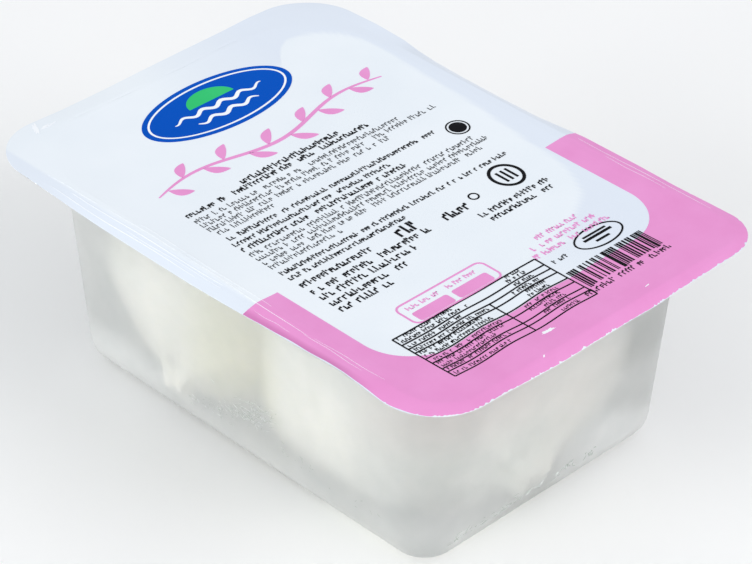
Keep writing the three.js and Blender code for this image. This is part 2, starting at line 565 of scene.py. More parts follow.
@dataclass(frozen=True)
class Plan:
    """A rounded rectangle seen from above; its corner at +X -Y may have its own radius."""

    width: float
    length: float
    corner: float
    peel_corner: float = 0.0

    @property
    def radii(self) -> np.ndarray:
        """Corner radii, anticlockwise from +X +Y."""
        return np.array([self.corner] * 3 + [self.peel_corner or self.corner])

    def towards(self, other: "Plan", share: float) -> "Plan":
        """The rectangle part of the way to another.

        Args:
            other: The rectangle at share 1.
            share: How far to go.

        Returns:
            The rectangle between.
        """
        ends = [(p.width, p.length, p.corner, p.radii[-1]) for p in (self, other)]
        return Plan(*[a + (b - a) * share for a, b in zip(*ends)])

    def outline(self, spread: Spread) -> np.ndarray:
        """Points round it, anticlockwise from just past the middle of the +Y end.

        Each corner is a quarter circle about its own middle, and each side a straight run
        between the ends of two corners.

        Args:
            spread: Steps along its parts.

        Returns:
            Points of shape (count, 2).
        """
        signs = np.array([[1, 1], [-1, 1], [-1, -1], [1, -1]])
        half = np.array([self.width, self.length]) / 2
        middles = signs * (half - self.radii[:, None])
        turns = np.arange(4)[:, None] * pi / 2 + np.linspace(0, pi / 2, spread.corner + 1)
        round_off = self.radii[:, None, None] * np.stack([np.cos(turns), np.sin(turns)], axis=-1)
        arcs = middles[:, None] + round_off
        parts = []
        for quarter, steps in enumerate((spread.end, spread.side) * 2):
            share = np.linspace(0, 1, steps + 1)[1:-1, None]
            start, stop = arcs[quarter][-1], arcs[(quarter + 1) % 4][0]
            parts += [arcs[quarter], start + (stop - start) * share]
        return np.roll(np.concatenate(parts), -(spread.corner + spread.end // 2 + 1), axis=0)

    def distance(self, place: np.ndarray) -> np.ndarray:
        """Signed distance from its outline, that of a box whose corners are rounded.

        Args:
            place: Points of shape (..., 2).

        Returns:
            Millimetres outside it, negative inside.
        """
        peel = (place[..., 0] > 0) & (place[..., 1] < 0)
        radius = np.where(peel, self.radii[-1], self.corner)
        past = np.abs(place) - np.array([self.width, self.length]) / 2 + radius[..., None]
        outside = np.hypot(*np.moveaxis(np.maximum(past, 0), -1, 0))
        return outside + np.minimum(past.max(axis=-1), 0) - radius


@dataclass(frozen=True)
class TrayShape:
    """Sizes of the tray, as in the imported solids."""

    base: Plan = Plan(83.3, 124.6, 9.1)
    mouth: Plan = Plan(97.2, 141.7, 23.3)
    flange: Plan = Plan(112, 158.6, 16, 11.5)
    top: float = 60.6
    base_fillet: float = 6.9
    mouth_fillet: float = 1.5
    wall: float = 0.8

    @property
    def root(self) -> Plan:
        """Where the flat of the flange begins, outside the curve of the mouth."""
        return self.plan(self.top, -self.mouth_fillet)

    def plan(self, height: float, inset: float) -> Plan:
        """The body at a height, straight from base to mouth, drawn in all round.

        Args:
            height: Height above the floor.
            inset: How far it is drawn in.

        Returns:
            Its plan there.
        """
        plan = self.base.towards(self.mouth, height / self.top)
        return Plan(plan.width - 2 * inset, plan.length - 2 * inset, plan.corner - inset)

    def ring(self, height: float, inset: float, spread: Spread) -> np.ndarray:
        """Points round the body at a height.

        Args:
            height: Height above the floor.
            inset: How far it is drawn in.
            spread: Steps along its parts.

        Returns:
            Points of shape (count, 3).
        """
        outline = self.plan(height, inset).outline(spread)
        return np.column_stack([outline, np.full(len(outline), height)])

    def body(
        self, floor: float, inset: float, top: float, steps: tuple[int, int], spread: Spread
    ) -> list[np.ndarray]:
        """Rings of the body from its floor up: a quarter-round foot, then the sloping wall.

        Args:
            floor: Height of its floor.
            inset: How far its wall is drawn in.
            top: Height where it stops.
            steps: Steps up the foot and up the wall.
            spread: Steps along each ring's parts.

        Returns:
            The rings, each of shape (count, 3).
        """
        radius = self.base_fillet - inset
        turns = np.linspace(0, pi / 2, steps[0] + 1)
        foot = [(floor + radius * (1 - cos(t)), inset + radius * (1 - sin(t))) for t in turns]
        heights = np.linspace(floor + radius, top, steps[1] + 1)[1:]
        return [self.ring(z, i, spread) for z, i in foot + [(z, inset) for z in heights]]


class Edge(Enum):
    """The four straight sides of the flange, by the axis that they face along and its sign."""

    LEFT = (0, -1)
    RIGHT = (0, 1)
    FRONT = (1, -1)
    BACK = (1, 1)


@dataclass(frozen=True)
class Hang:
    """How a side of the flange hangs: where its bend starts and how low its edge is."""

    bend_inset: float
    along: tuple[float, ...]
    drop: tuple[float, ...]


@dataclass(frozen=True)
class Crease:
    """A fine line pressed into the film beside one edge, raised or sunk, with faded ends."""

    edge: Edge
    inset: float
    start: float
    stop: float
    rise: float
    half_width: float = 0.32


@dataclass(frozen=True)
class SealShape:
    """Height of the film and of the flange under it, at any place seen from above."""

    tray: TrayShape
    film_top: float = 61.0
    film_thickness: float = 0.12
    film_gap: float = 0.02
    sag: float = 0.7
    sag_reach: float = 9.0
    bend_power: float = 1.25
    corner_blend: float = 16.0
    left: Hang = Hang(
        4.6,
        (-72, -62, -57, -50, -44, -36, -22, -10, 2, 18, 34, 42, 50, 62, 76),
        (1.1, 1.25, 0.7, -0.2, 0.0, 0.4, 0.9, 1.45, 1.75, 1.7, 1.5, 1.2, 0.7, 0.1, 0.0),
    )
    right: Hang = Hang(
        3.5,
        (-72, -62, -50, -38, -20, -12, -4, 10, 22, 32, 38, 44, 54, 64, 76),
        (0.6, 0.7, 0.9, 0.65, 0.7, 1.3, 1.95, 2.1, 2.0, 1.7, 1.1, 0.1, -0.3, 0.0, 0.2),
    )
    front: Hang = Hang(
        3.2,
        (-50, -42, -36, -26, -16, -6, 8, 16, 24, 36, 46),
        (1.1, 0.8, 0.8, 1.4, 1.9, 1.7, 1.7, 1.9, 1.3, 1.0, 0.7),
    )
    back: Hang = Hang(
        5.9,
        (-48, -40, -30, -16, -4, 10, 24, 34, 40, 50),
        (0.0, 0.2, 0.6, 0.6, 0.3, 0.1, 0.0, -0.3, -0.1, 0.2),
    )
    creases: tuple[Crease, ...] = (
        Crease(Edge.LEFT, 4.6, -44, 14, 0.07),
        Crease(Edge.LEFT, 2.6, -40, 30, 0.04),
        Crease(Edge.LEFT, 3.4, 24, 56, 0.03),
        Crease(Edge.LEFT, 1.4, 4, 60, 0.045, 0.24),
        Crease(Edge.LEFT, 5.8, -6, 50, 0.045),
        Crease(Edge.LEFT, 3.6, -60, -24, 0.05, 0.26),
        Crease(Edge.LEFT, 1.5, -38, 0, 0.04, 0.22),
        Crease(Edge.LEFT, 6.6, -54, -14, 0.035),
        Crease(Edge.BACK, 6.0, -34, -7, -0.17, 0.26),
        Crease(Edge.BACK, 6.0, -5, 27, -0.15, 0.26),
        Crease(Edge.RIGHT, 3.5, -44, -18, 0.05),
        Crease(Edge.RIGHT, 1.9, -64, -14, 0.07, 0.26),
        Crease(Edge.FRONT, 2.4, -36, 2, 0.05, 0.28),
        Crease(Edge.FRONT, 4.6, -18, 30, 0.04),
        Crease(Edge.FRONT, 1.6, 12, 46, 0.05, 0.26),
    )
    crease_fade: float = 6.0
    crease_wander: float = 0.25
    wander_length: float = 5.3
    crease_swell: float = 0.35
    swell_length: float = 2.9
    clear_reach: float = 3.0
    dent: float = 0.32
    dent_length: float = 21.0
    dent_middle: tuple[float, float] = (-14.0, -61.0)
    dent_reach: tuple[float, float] = (26.0, 11.0)

    def from_sides(self, place: np.ndarray) -> np.ndarray:
        """Distances in from the straight lines of the left or right edge and the front or back one."""
        return np.array([self.tray.flange.width, self.tray.flange.length]) / 2 - np.abs(place)

    def edge_inset(self, place: np.ndarray) -> np.ndarray:
        """Distance in from the flange's edge."""
        return -self.tray.flange.distance(place)

    def bent(self, place: np.ndarray) -> np.ndarray:
        """Height of the seal without its creases.

        Outside the bend the film hangs to its edge by a power of the distance from the bend. Near
        a corner the bend and the drop pass from those of one side to those of the next.

        Args:
            place: Points of shape (..., 2).

        Returns:
            The heights.
        """
        x, y = place[..., 0], place[..., 1]
        inset = self.from_sides(place)
        sideways = np.clip((inset[..., 1] - inset[..., 0]) / self.corner_blend + 0.5, 0, 1)

        def drop(hang: Hang, at: np.ndarray) -> np.ndarray:
            """The side's drop at places along it."""
            return np.interp(at, hang.along, hang.drop)

        side_drop = np.where(x < 0, drop(self.left, y), drop(self.right, y))
        end_drop = np.where(y < 0, drop(self.front, x), drop(self.back, x))
        side_bend = np.where(x < 0, self.left.bend_inset, self.right.bend_inset)
        end_bend = np.where(y < 0, self.front.bend_inset, self.back.bend_inset)
        bend = end_bend + (side_bend - end_bend) * sideways
        past_bend = np.clip(1 - self.edge_inset(place) / bend, 0, 1) ** self.bend_power
        return self.film_top - (end_drop + (side_drop - end_drop) * sideways) * past_bend

    def film(self, place: np.ndarray) -> np.ndarray:
        """Height of the film's top.

        It sags smoothly inside the mouth and has a few soft dents across the front end. Its
        creases are bell-shaped across, and wander and swell by slow waves along their run.

        Args:
            place: Points of shape (..., 2).

        Returns:
            The heights.
        """
        inside = np.maximum(-self.tray.root.distance(place), 0)
        height = self.bent(place) - self.sag * (1 - np.exp(-inside / self.sag_reach))
        reach = (place - np.array(self.dent_middle)) / np.array(self.dent_reach)
        fade = np.exp(-(reach ** 4).sum(axis=-1))
        height += self.dent * fade * np.cos(2 * pi * place[..., 0] / self.dent_length)
        inset = self.from_sides(place)
        for crease in self.creases:
            axis, sign = crease.edge.value
            along = place[..., 1 - axis]
            ends = np.minimum(along - crease.start, crease.stop - along) / self.crease_fade
            here = np.clip(ends, 0, 1) * (place[..., axis] * sign > 0)
            wander = self.crease_wander * np.sin(along / self.wander_length + crease.start)
            across = inset[..., axis] - crease.inset - wander
            swell = np.sin(along / self.swell_length + crease.inset)
            here *= 1 - self.crease_swell + self.crease_swell * swell
            height += crease.rise * here * np.exp(-(across / crease.half_width) ** 2)
        return height

    def flange(self, place: np.ndarray) -> np.ndarray:
        """Height of the flange's top, clear below the film and its creases.

        Args:
            place: Points of shape (..., 2).

        Returns:
            The heights.
        """
        deepest = -min(crease.rise for crease in self.creases)
        clear = deepest * np.clip(self.edge_inset(place) / self.clear_reach, 0, 1)
        return self.bent(place) - self.film_thickness - self.film_gap - clear


@dataclass
class Tray:
    """The thermoformed tray: out up the wall and flange, then back in and down inside."""

    shape: TrayShape
    seal: SealShape
    finish: Finish = MilkyPolypropylene()
    flange_underside: float = 59.9
    edge_thickness: float = 0.4
    edge_inset: float = 0.35
    edge_round: float = 0.2
    spread: Spread = Spread(20, 25, 36)
    foot_steps: int = 10
    wall_steps: int = 16
    neck_steps: int = 6
    flange_steps: int = 14
    far_haze: float = 0.05
    haze_start: float = 40.0
    haze_fade: float = 12.0
    base_milk: float = 0.37
    milk_fade: float = 6.0
    corner_slope: float = 0.7
    # Place along the wall, share and height of its line.
    side_milk: Stops = (
        (-63, 0.3, 20), (-61, 0.3, 20), (-56, 0.03, 14), (-40, 0.0, 12), (-27, 0.25, 12), (-10, 0.5, 12),
        (12, 0.5, 12), (24, 0.3, 13), (32, 0.6, 17), (46, 0.85, 18), (65, 0.5, 15),
    )
    end_milk: Stops = (
        (-42, 1.0, 22), (-36, 0.75, 19), (-29, 0.1, 16), (-22, 0.05, 17), (-14, -0.1, 13), (-8, -0.35, 11.5),
        (-1, -0.3, 11), (4, 0.3, 18), (10, 0.55, 24), (20, 0.9, 21), (34, 0.9, 14), (45, 0.6, 14),
    )
    clear_strip: Stops = ((16, 0.0, 29), (22, -0.47, 29), (45, -0.47, 27))

    def flange_rings(self) -> list[np.ndarray]:
        """Rings out along the flange's underside, round its edge and back along its top.

        The underside rises to the thin edge, and the edge is half round.

        Returns:
            The rings, each of shape (count, 3).
        """
        shares = np.linspace(0, 1, self.flange_steps + 1)
        flange, out_by = self.shape.flange, 2 * self.edge_inset
        cut = Plan(flange.width - out_by, flange.length - out_by, flange.corner, flange.peel_corner)
        plans = [self.shape.root.towards(cut, share) for share in shares]
        places = np.stack([plan.outline(self.spread) for plan in plans])
        top = self.seal.flange(places)
        root_thickness = float(self.seal.flange(places[0]).max()) - self.flange_underside
        thickness = root_thickness + (self.edge_thickness - root_thickness) * shares
        under = top - thickness[:, None]
        grow = 2 * self.edge_round
        wide = Plan(cut.width + grow, cut.length + grow, cut.corner + grow / 2, cut.peel_corner + grow / 2)
        edge = np.column_stack([wide.outline(self.spread), (top[-1] + under[-1]) / 2])
        out = list(np.concatenate([places, under[..., None]], axis=-1))
        back = list(np.concatenate([places, top[..., None]], axis=-1))
        return out[1:] + [edge] + back[::-1]

    def build(self) -> list[bpy.types.Object]:
        """Make the tray.

        Returns:
            Its one piece.
        """
        shape, spread = self.shape, self.spread
        steps = (self.foot_steps, self.wall_steps)
        turns = np.linspace(0, pi / 2, self.neck_steps + 1)[1:]
        fillet, inner_fillet = shape.mouth_fillet, shape.mouth_fillet + shape.wall
        inner_top = float(self.seal.flange(shape.root.outline(spread)).min())
        outer_neck = [
            shape.ring(self.flange_underside - fillet * (1 - sin(t)), -fillet * (1 - cos(t)), spread)
            for t in turns
        ]
        inner_neck = [
            shape.ring(
                inner_top - inner_fillet * (1 - cos(t)),
                shape.wall - inner_fillet * (1 - sin(t)), spread)
            for t in turns
        ]
        outside = shape.body(0, 0, self.flange_underside - fillet, steps, spread)
        inside = shape.body(shape.wall, shape.wall, inner_top - inner_fillet, steps, spread)[:-1]
        rings = outside + outer_neck + self.flange_rings() + inner_neck + inside[::-1]
        skins = skin(np.stack(rings))
        piece = make_piece("milky_tray", skins, self.finish, "tray")
        carry(piece, "milk", self.milk(skins[0]))
        return [piece]

    def along_wall(
        self, along: np.ndarray, height: np.ndarray, stops: Stops, upwards: int
    ) -> np.ndarray:
        """Shares of milkiness along a wall on one side of their line, soft across it.

        Args:
            along: Places along the wall.
            height: Heights of the same places.
            stops: The shares, and the heights of their line.
            upwards: 1 for the side above the line, -1 for the one below.

        Returns:
            The share at each place.
        """
        at, share, line = np.array(stops).T
        past = upwards * (height - np.interp(along, at, line))
        return np.interp(along, at, share) * np.clip(past / self.milk_fade, 0, 1)

    def milk(self, points: np.ndarray) -> np.ndarray:
        """How milky the sheet is: a base share, with more or less added wall by wall.

        The shares change along the foot of each wall. High at its right the front wall is clearer,
        and the far end has at least a slight haze. The front wall's shares hold before a slanted
        line, which crosses the middle a third of the base's length forward.

        Args:
            points: Points of shape (n, 3).

        Returns:
            Shares up to 1.
        """
        x, y, z = points.T
        front = y < self.corner_slope * x - self.shape.base.length / 3
        haze = self.far_haze * np.clip((y - self.haze_start) / self.haze_fade, 0, 1)
        end = self.along_wall(x, z, self.end_milk, -1) + self.along_wall(x, z, self.clear_strip, 1)
        side = np.maximum(self.along_wall(y, z, self.side_milk, -1), haze)
        return self.base_milk + (1 - self.base_milk) * np.where(front, end, side)


@dataclass
class FilmLid:
    """The film over the mouth, sealed to the flange and cut just inside its edge."""

    shape: TrayShape
    seal: SealShape
    finish: Finish = SealFilm()
    edge_inset: float = 0.05
    fine_inset: float = 8.0
    even_inset: float = 30.0
    middle_inset: float = 51.0
    steps: tuple[int, int, int] = (32, 19, 7)
    spread: Spread = Spread(36, 101, 141)
    mouth_middle: tuple[float, float] = (0.0, 10.0)
    mouth_line: tuple[tuple[float, float], ...] = (
        (46.6, 10.0), (47.2, 20.0), (47.7, 28.0), (48.2, 36.0), (48.6, 45.0), (48.2, 52.0), (46.0, 57.5),
        (43.0, 61.0), (39.0, 63.7), (34.0, 64.8), (30.0, 62.8), (25.0, 57.0), (10.0, 60.0), (-20.0, 62.0),
        (-47.0, 50.0), (-48.0, 10.0), (-47.0, -40.0), (-20.0, -52.0), (10.0, -49.0), (30.0, -41.0),
        (37.0, -36.5), (42.0, -27.0), (43.8, -12.0), (45.4, 0.0),
    )
    corner_spare: float = 4.0
    # Where the painted shade over the seal comes in and fades, and how much of it the hanging left edge gets.
    seal_shade_start: float = -5.0
    seal_shade_reach: float = 33.0
    seal_shade_lead: float = 0.6
    seal_shade_fade: float = 1.3
    hang_shade_share: float = 0.8
    under_stride: int = 4

    def places(self) -> np.ndarray:
        """Rings seen from above, from the long axis out to the cut edge.

        Each ring is the flange's outline drawn in, close together across the bend. Past that its
        corners tighten in proportion.

        Returns:
            Points of shape (rows, count, 2).
        """
        flange = self.shape.flange
        stops = (self.edge_inset, self.fine_inset, self.even_inset, self.middle_inset)
        runs = [
            np.linspace(a, b, count, endpoint=False)
            for a, b, count in zip(stops, stops[1:], self.steps)
        ]
        insets = np.concatenate(runs + [[self.middle_inset]])[::-1]
        shrink = self.middle_inset - self.fine_inset
        tight = np.clip((self.middle_inset + self.corner_spare - insets) / shrink, 0, 1)
        near = np.minimum(insets, self.fine_inset)
        plans = [
            Plan(flange.width - 2 * i, flange.length - 2 * i,
                 (flange.corner - n) * t, (flange.peel_corner - n) * t)
            for i, n, t in zip(insets, near, tight)
        ]
        return np.stack([plan.outline(self.spread) for plan in plans])

    def seal_shade_share(self, place: np.ndarray) -> np.ndarray:
        """How much painted shade, bluer and darker, shows at points.

        It comes in across the edge of the unsealed middle, by the distance past it along lines from
        its own middle, and fades out to the left, where only the hanging edge shows it.

        Args:
            place: Points of shape (n, 2).

        Returns:
            Shares from 0 to 1.
        """
        line = np.array(self.mouth_line) - self.mouth_middle
        turn, radius = np.arctan2(line[:, 1], line[:, 0]), np.hypot(line[:, 0], line[:, 1])
        out = place - np.array(self.mouth_middle)
        order = np.argsort(turn)
        reach = np.interp(np.arctan2(out[:, 1], out[:, 0]), turn[order], radius[order], period=2 * pi)
        past = np.hypot(out[:, 0], out[:, 1]) - reach
        to_right = np.clip((place[:, 0] - self.seal_shade_start) / self.seal_shade_reach, 0, 1)
        left_hang = np.clip(self.seal.left.bend_inset - self.seal.from_sides(place)[:, 0], 0, 1)
        on_left = self.hang_shade_share * left_hang * (place[:, 0] < 0)
        return np.clip((past + self.seal_shade_lead) / self.seal_shade_fade, 0, 1) * to_right + on_left

    def build(self) -> list[bpy.types.Object]:
        """Make the film, with each point's share of painted shade for its finish.

        Returns:
            Its one piece.
        """
        places = self.places()
        top = np.concatenate([places, self.seal.film(places)[..., None]], axis=-1)
        under = top[::-1][::self.under_stride][::-1].copy()
        under[..., 2] -= self.seal.film_thickness
        shape = skin(np.concatenate([under, top[::-1]]))
        piece = make_piece("sealed_film", shape, self.finish, "lid_film")
        carry(piece, "seal_shade_share", self.seal_shade_share(shape[0][:, :2]))
        return [piece]


class Lift(Enum):
    """How far an ink's top stands above the film in millimetres, in order of printing."""

    UNDER = 0.04
    OVER = 0.06
    TOP = 0.08


def ellipse(
    middle: tuple[float, float], half: float | tuple[float, float] | np.ndarray, count: int
) -> np.ndarray:
    """Points round an ellipse, anticlockwise.

    Args:
        middle: Its middle.
        half: Its half width and half height, or its radius.
        count: How many points.

    Returns:
        Points of shape (count, 2).
    """
    turn = np.linspace(0, 2 * pi, count, endpoint=False)
    return np.array(middle) + np.column_stack([np.cos(turn), np.sin(turn)]) * half


def turned(points: np.ndarray, angle: float) -> np.ndarray:
    """Points of shape (n, 2) turned anticlockwise about the origin by an angle in radians."""
    return points @ np.array([[cos(angle), sin(angle)], [-sin(angle), cos(angle)]])


@dataclass(frozen=True)
class InkOnFilm:
    """Thin layers of ink that follow the film's height, given by places seen from above."""

    seal: SealShape
    sunk: float = 0.03
    innermost: float = 0.01

    def layers(self, places: np.ndarray, lift: Lift) -> np.ndarray:
        """Places on the film with the heights of an ink layer's underside and top.

        Args:
            places: Points of shape (..., 2).
            lift: Which printing the ink belongs to.

        Returns:
            Points of shape (2, ..., 3), underside first.
        """
        height = self.seal.film(places)
        return np.stack([
            np.concatenate([places, z[..., None]], axis=-1)
            for z in (height - self.sunk, height + lift.value)
        ])

    def tiles(self, boxes: np.ndarray, lift: Lift = Lift.OVER) -> Skin:
        """Small straight marks.

        Args:
            boxes: Left, low, right and high of each, of shape (n, 4).
            lift: Which printing the ink belongs to.

        Returns:
            Their skins.
        """
        corners = boxes[:, [[0, 1], [2, 1], [2, 3], [0, 3]]]
        return skin(np.moveaxis(self.layers(corners, lift), 0, 1))

    def pad(self, outline: np.ndarray, rows: int = 3, lift: Lift = Lift.OVER) -> Skin:
        """A filled shape, by rings shrunk towards the middle of its outline.

        Args:
            outline: Points of shape (count, 2), anticlockwise.
            rows: Rings on each side.
            lift: Which printing the ink belongs to.

        Returns:
            Its skin.
        """
        middle = outline.mean(axis=0)
        shares = np.linspace(self.innermost, 1, rows + 1)[:, None, None]
        under, top = self.layers(middle + (outline - middle) * shares, lift)
        return skin(np.concatenate([under, top[::-1]]))

    def band(self, outer: np.ndarray, inner: np.ndarray, lift: Lift = Lift.OVER) -> Skin:
        """A closed line between two outlines.

        Args:
            outer: Points of shape (count, 2), anticlockwise.
            inner: As many points inside it.
            lift: Which printing the ink belongs to.

        Returns:
            Its skin.
        """
        (inner_low, outer_low), (inner_high, outer_high) = self.layers(np.stack([inner, outer]), lift)
        return skin(np.stack([inner_low, outer_low, outer_high, inner_high]), Ends.JOINED)

    def ribbon(self, across: np.ndarray, lift: Lift = Lift.OVER) -> Skin:
        """A strip along a path.

        Args:
            across: Places of shape (steps, count, 2), each row from the path's right to its left.
            lift: Which printing the ink belongs to.

        Returns:
            Its skin.
        """
        under, top = self.layers(across, lift)
        return skin(np.concatenate([under, top[:, ::-1]], axis=1))

    def stroke(self, path: np.ndarray, half: np.ndarray | float, lift: Lift = Lift.OVER) -> Skin:
        """A line of given half width along a path.

        Args:
            path: Points of shape (count, 2).
            half: Half its width, for all or for each point.
            lift: Which printing the ink belongs to.

        Returns:
            Its skin.
        """
        along = np.gradient(path, axis=0)
        along /= np.linalg.norm(along, axis=1, keepdims=True)
        left = np.column_stack([-along[:, 1], along[:, 0]]) * np.reshape(half, (-1, 1))
        return self.ribbon(np.stack([path - left, path + left], axis=1), lift)


@dataclass(frozen=True)
class TextLine:
    """A line of small print: its base, its two ends, its letter height and its weight."""

    base: float
    left: float
    right: float
    height: float = 1.8
    weight: Weight = Weight.REGULAR


@dataclass(frozen=True)
class SmallPrint:
    """Plain strokes that stand for small print; heights are shares of the letter height."""

    pitch: float = 0.58
    spare: float = 1.6
    spare_groups: int = 4
    widths: tuple[float, float] = (0.75, 1.25)
    spaces: float = 0.15
    tall: float = 0.3
    small_height: float = 0.72
    side_place: float = 0.48
    side_rises: tuple[float, ...] = (0.0, 0.3, 0.58)
    side_heights: tuple[float, float] = (0.16, 0.42)
    bar_rise: float = 0.58

    def marks(self, line: TextLine, rng: np.random.Generator) -> np.ndarray:
        """Strokes of one line: groups of an upright, a short stroke beside it and one across.

        Groups have uneven widths, about one in seven is left out as a space, and the uprights are
        as high as small or tall letters.

        Args:
            line: The line.
            rng: Where the draws come from.

        Returns:
            Left, low, right and high of each stroke, of shape (n, 4).
        """
        pitch = self.pitch * line.height
        count = int(self.spare * (line.right - line.left) / pitch) + self.spare_groups
        widths = pitch * rng.uniform(*self.widths, count)
        start = line.left + np.concatenate([[0], np.cumsum(widths)[:-1]])
        drawn = (rng.random(count) > self.spaces) & (start + widths < line.right)
        tall = rng.random(count) < self.tall
        rise = rng.choice(self.side_rises, count)
        thick = line.weight.value * line.height
        top = line.base + line.height * np.where(tall, 1, self.small_height)
        upright = np.column_stack([start, np.full(count, line.base), start + thick, top])
        side = start + widths * self.side_place
        low = line.base + line.height * rise
        high = low + line.height * rng.uniform(*self.side_heights, count)
        beside = np.column_stack([side, low, side + thick, high])
        low = line.base + line.height * np.where(rise > 0, self.bar_rise, 0.0)
        across = np.column_stack([start + thick, low, side + thick, low + thick])
        return np.concatenate([upright[drawn], beside[drawn], across[drawn & ~tall]])

    def draw(
        self, ink: InkOnFilm, lines: tuple[TextLine, ...], rng: np.random.Generator
    ) -> list[Skin]:
        """The strokes of each line, in order."""
        return [ink.tiles(self.marks(line, rng)) for line in lines]


@dataclass(frozen=True)
class PinkBorder:
    """The pink field round the front end, from the film's edge in to a rounded inner line."""

    shape: TrayShape
    edge_inset: float = 0.08
    arm_inside: float = 45.0
    arm_end: float = -16.5
    inner_end: float = 59.0
    inner_corner: float = 14.0
    steps: tuple[int, int, int] = (70, 150, 220)
    quarter_steps: int = 60
    fine_width: float = 7.5
    fine_rows: int = 31
    wide_rows: int = 9
    chip_rows: int = 6
    chip_slack: float = 1.02
    # First and last step along the edge, and how many chips lie between them.
    chip_runs: tuple[tuple[int, int, int], ...] = ((110, 520, 150), (130, 235, 45), (0, 660, 20))
    chip_depth: float = 0.6
    chip_range: tuple[float, float] = (0.1, 0.95)
    chip_power: float = 2.6
    chip_halves: tuple[float, float] = (0.6, 2.2)
    bare_start: float = -20.0
    bare_stop: float = -73.0
    bare_fades: tuple[float, float] = (8.0, 6.0)
    bare_edge: float = 0.22
    bare_ripple: float = 0.4
    ripple_length: float = 1.9
    # Painted shade that darkens the pink across the left hang, fading out before the corner.
    hang_shade_inset: float = 2.2
    hang_shade_fade: float = 1.5
    hang_shade_stop: float = -60.0
    hang_shade_stop_fade: float = 14.0

    def path(self, x: float, y: float, left: float, right: float) -> np.ndarray:
        """A line down one arm, round a corner, along the end, round the other and up its arm.

        All such lines turn beside the same places, so that they run in step.

        Args:
            x: Distance of each arm from the middle.
            y: Distance of the end from the middle.
            left: Radius of the first corner.
            right: Radius of the second corner.

        Returns:
            Points of shape (count, 2), as many for any line.
        """
        turn_x, turn_y = self.arm_inside - self.inner_corner, self.inner_corner - self.inner_end
        arm, corner, front = self.steps
        quarter = np.linspace(0, pi / 2, self.quarter_steps)[:, None]
        first = np.hstack([left - x - left * np.cos(quarter), left - y - left * np.sin(quarter)])
        last = np.hstack([x - right + right * np.sin(quarter), right - y - right * np.cos(quarter)])
        runs = (
            (np.array([[-x, self.arm_end], [-x, turn_y]]), arm),
            (np.vstack([[[-x, turn_y]], first, [[-turn_x, -y]]]), corner),
            (np.array([[-turn_x, -y], [turn_x, -y]]), front),
            (np.vstack([[[turn_x, -y]], last, [[x, turn_y]]]), corner),
            (np.array([[x, turn_y], [x, self.arm_end]]), arm),
        )
        return np.concatenate([evenly(points, count) for points, count in runs])

    def chips(self, line: np.ndarray, rng: np.random.Generator) -> np.ndarray:
        """How much further in the ink stops, at chips along the cut edge.

        Chips are short bumps at random places, most along the front end and its left corner.
        Along the left arm a narrow uneven edge stays bare.

        Args:
            line: The ink's outer line, of shape (count, 2).
            rng: Where the draws come from.

        Returns:
            Millimetres at each point of the line.
        """
        middles = np.concatenate([rng.uniform(*run) for run in self.chip_runs])
        depths = self.chip_depth * rng.uniform(*self.chip_range, middles.size) ** self.chip_power
        halves = rng.uniform(*self.chip_halves, middles.size)
        step = np.arange(len(line))[:, None]
        chips = depths * np.maximum(1 - np.abs(step - middles) / halves, 0)
        x, y = line.T
        start, stop = self.bare_fades
        bare = np.clip((self.bare_start - y) / start, 0, 1) * np.clip((y - self.bare_stop) / stop, 0, 1)
        ripple = 1 + self.bare_ripple * np.sin(y / self.ripple_length)
        return np.maximum(chips.max(axis=1), self.bare_edge * (bare * (x < 0)) * ripple)

    def draw(self, ink: InkOnFilm, rng: np.random.Generator) -> Skin:
        """The field, in rows from its outer line to its inner one, close together at the edge.

        Args:
            ink: What draws on the film.
            rng: Where the chips come from.

        Returns:
            Its skin.
        """
        flange, inset, corner = self.shape.flange, self.edge_inset, self.inner_corner
        side, end = flange.width / 2 - inset, flange.length / 2 - inset
        outer = self.path(side, end, flange.corner - inset, flange.peel_corner - inset)
        span = self.path(self.arm_inside, self.inner_end, corner, corner) - outer
        width = np.linalg.norm(span, axis=1, keepdims=True)
        slack = np.linspace(1, self.chip_slack, self.chip_rows)
        chips = self.chips(outer, rng)[:, None] / width * slack
        fine = self.fine_width * np.linspace(0, 1, self.fine_rows) / width
        wide = fine[:, -1:] + (1 - fine[:, -1:]) * np.linspace(0, 1, self.wide_rows)[1:]
        shares = np.concatenate([fine, wide], axis=1)
        shares[:, :self.chip_rows] = np.maximum(shares[:, :self.chip_rows], chips)
        return ink.ribbon(outer[:, None] + span[:, None] * shares[..., None], Lift.UNDER)

    def depth(self, place: np.ndarray) -> np.ndarray:
        """How much painted shade darkens the pink: it grows across the left hang and fades before the corner.

        Args:
            place: Points of shape (n, 2).

        Returns:
            Shares from 0 to 1.
        """
        x, y = place.T
        inset = self.shape.flange.width / 2 - np.abs(x)
        across = np.clip((self.hang_shade_inset - inset) / self.hang_shade_fade, 0, 1)
        return across * (x < 0) * np.clip((y - self.hang_shade_stop) / self.hang_shade_stop_fade, 0, 1)


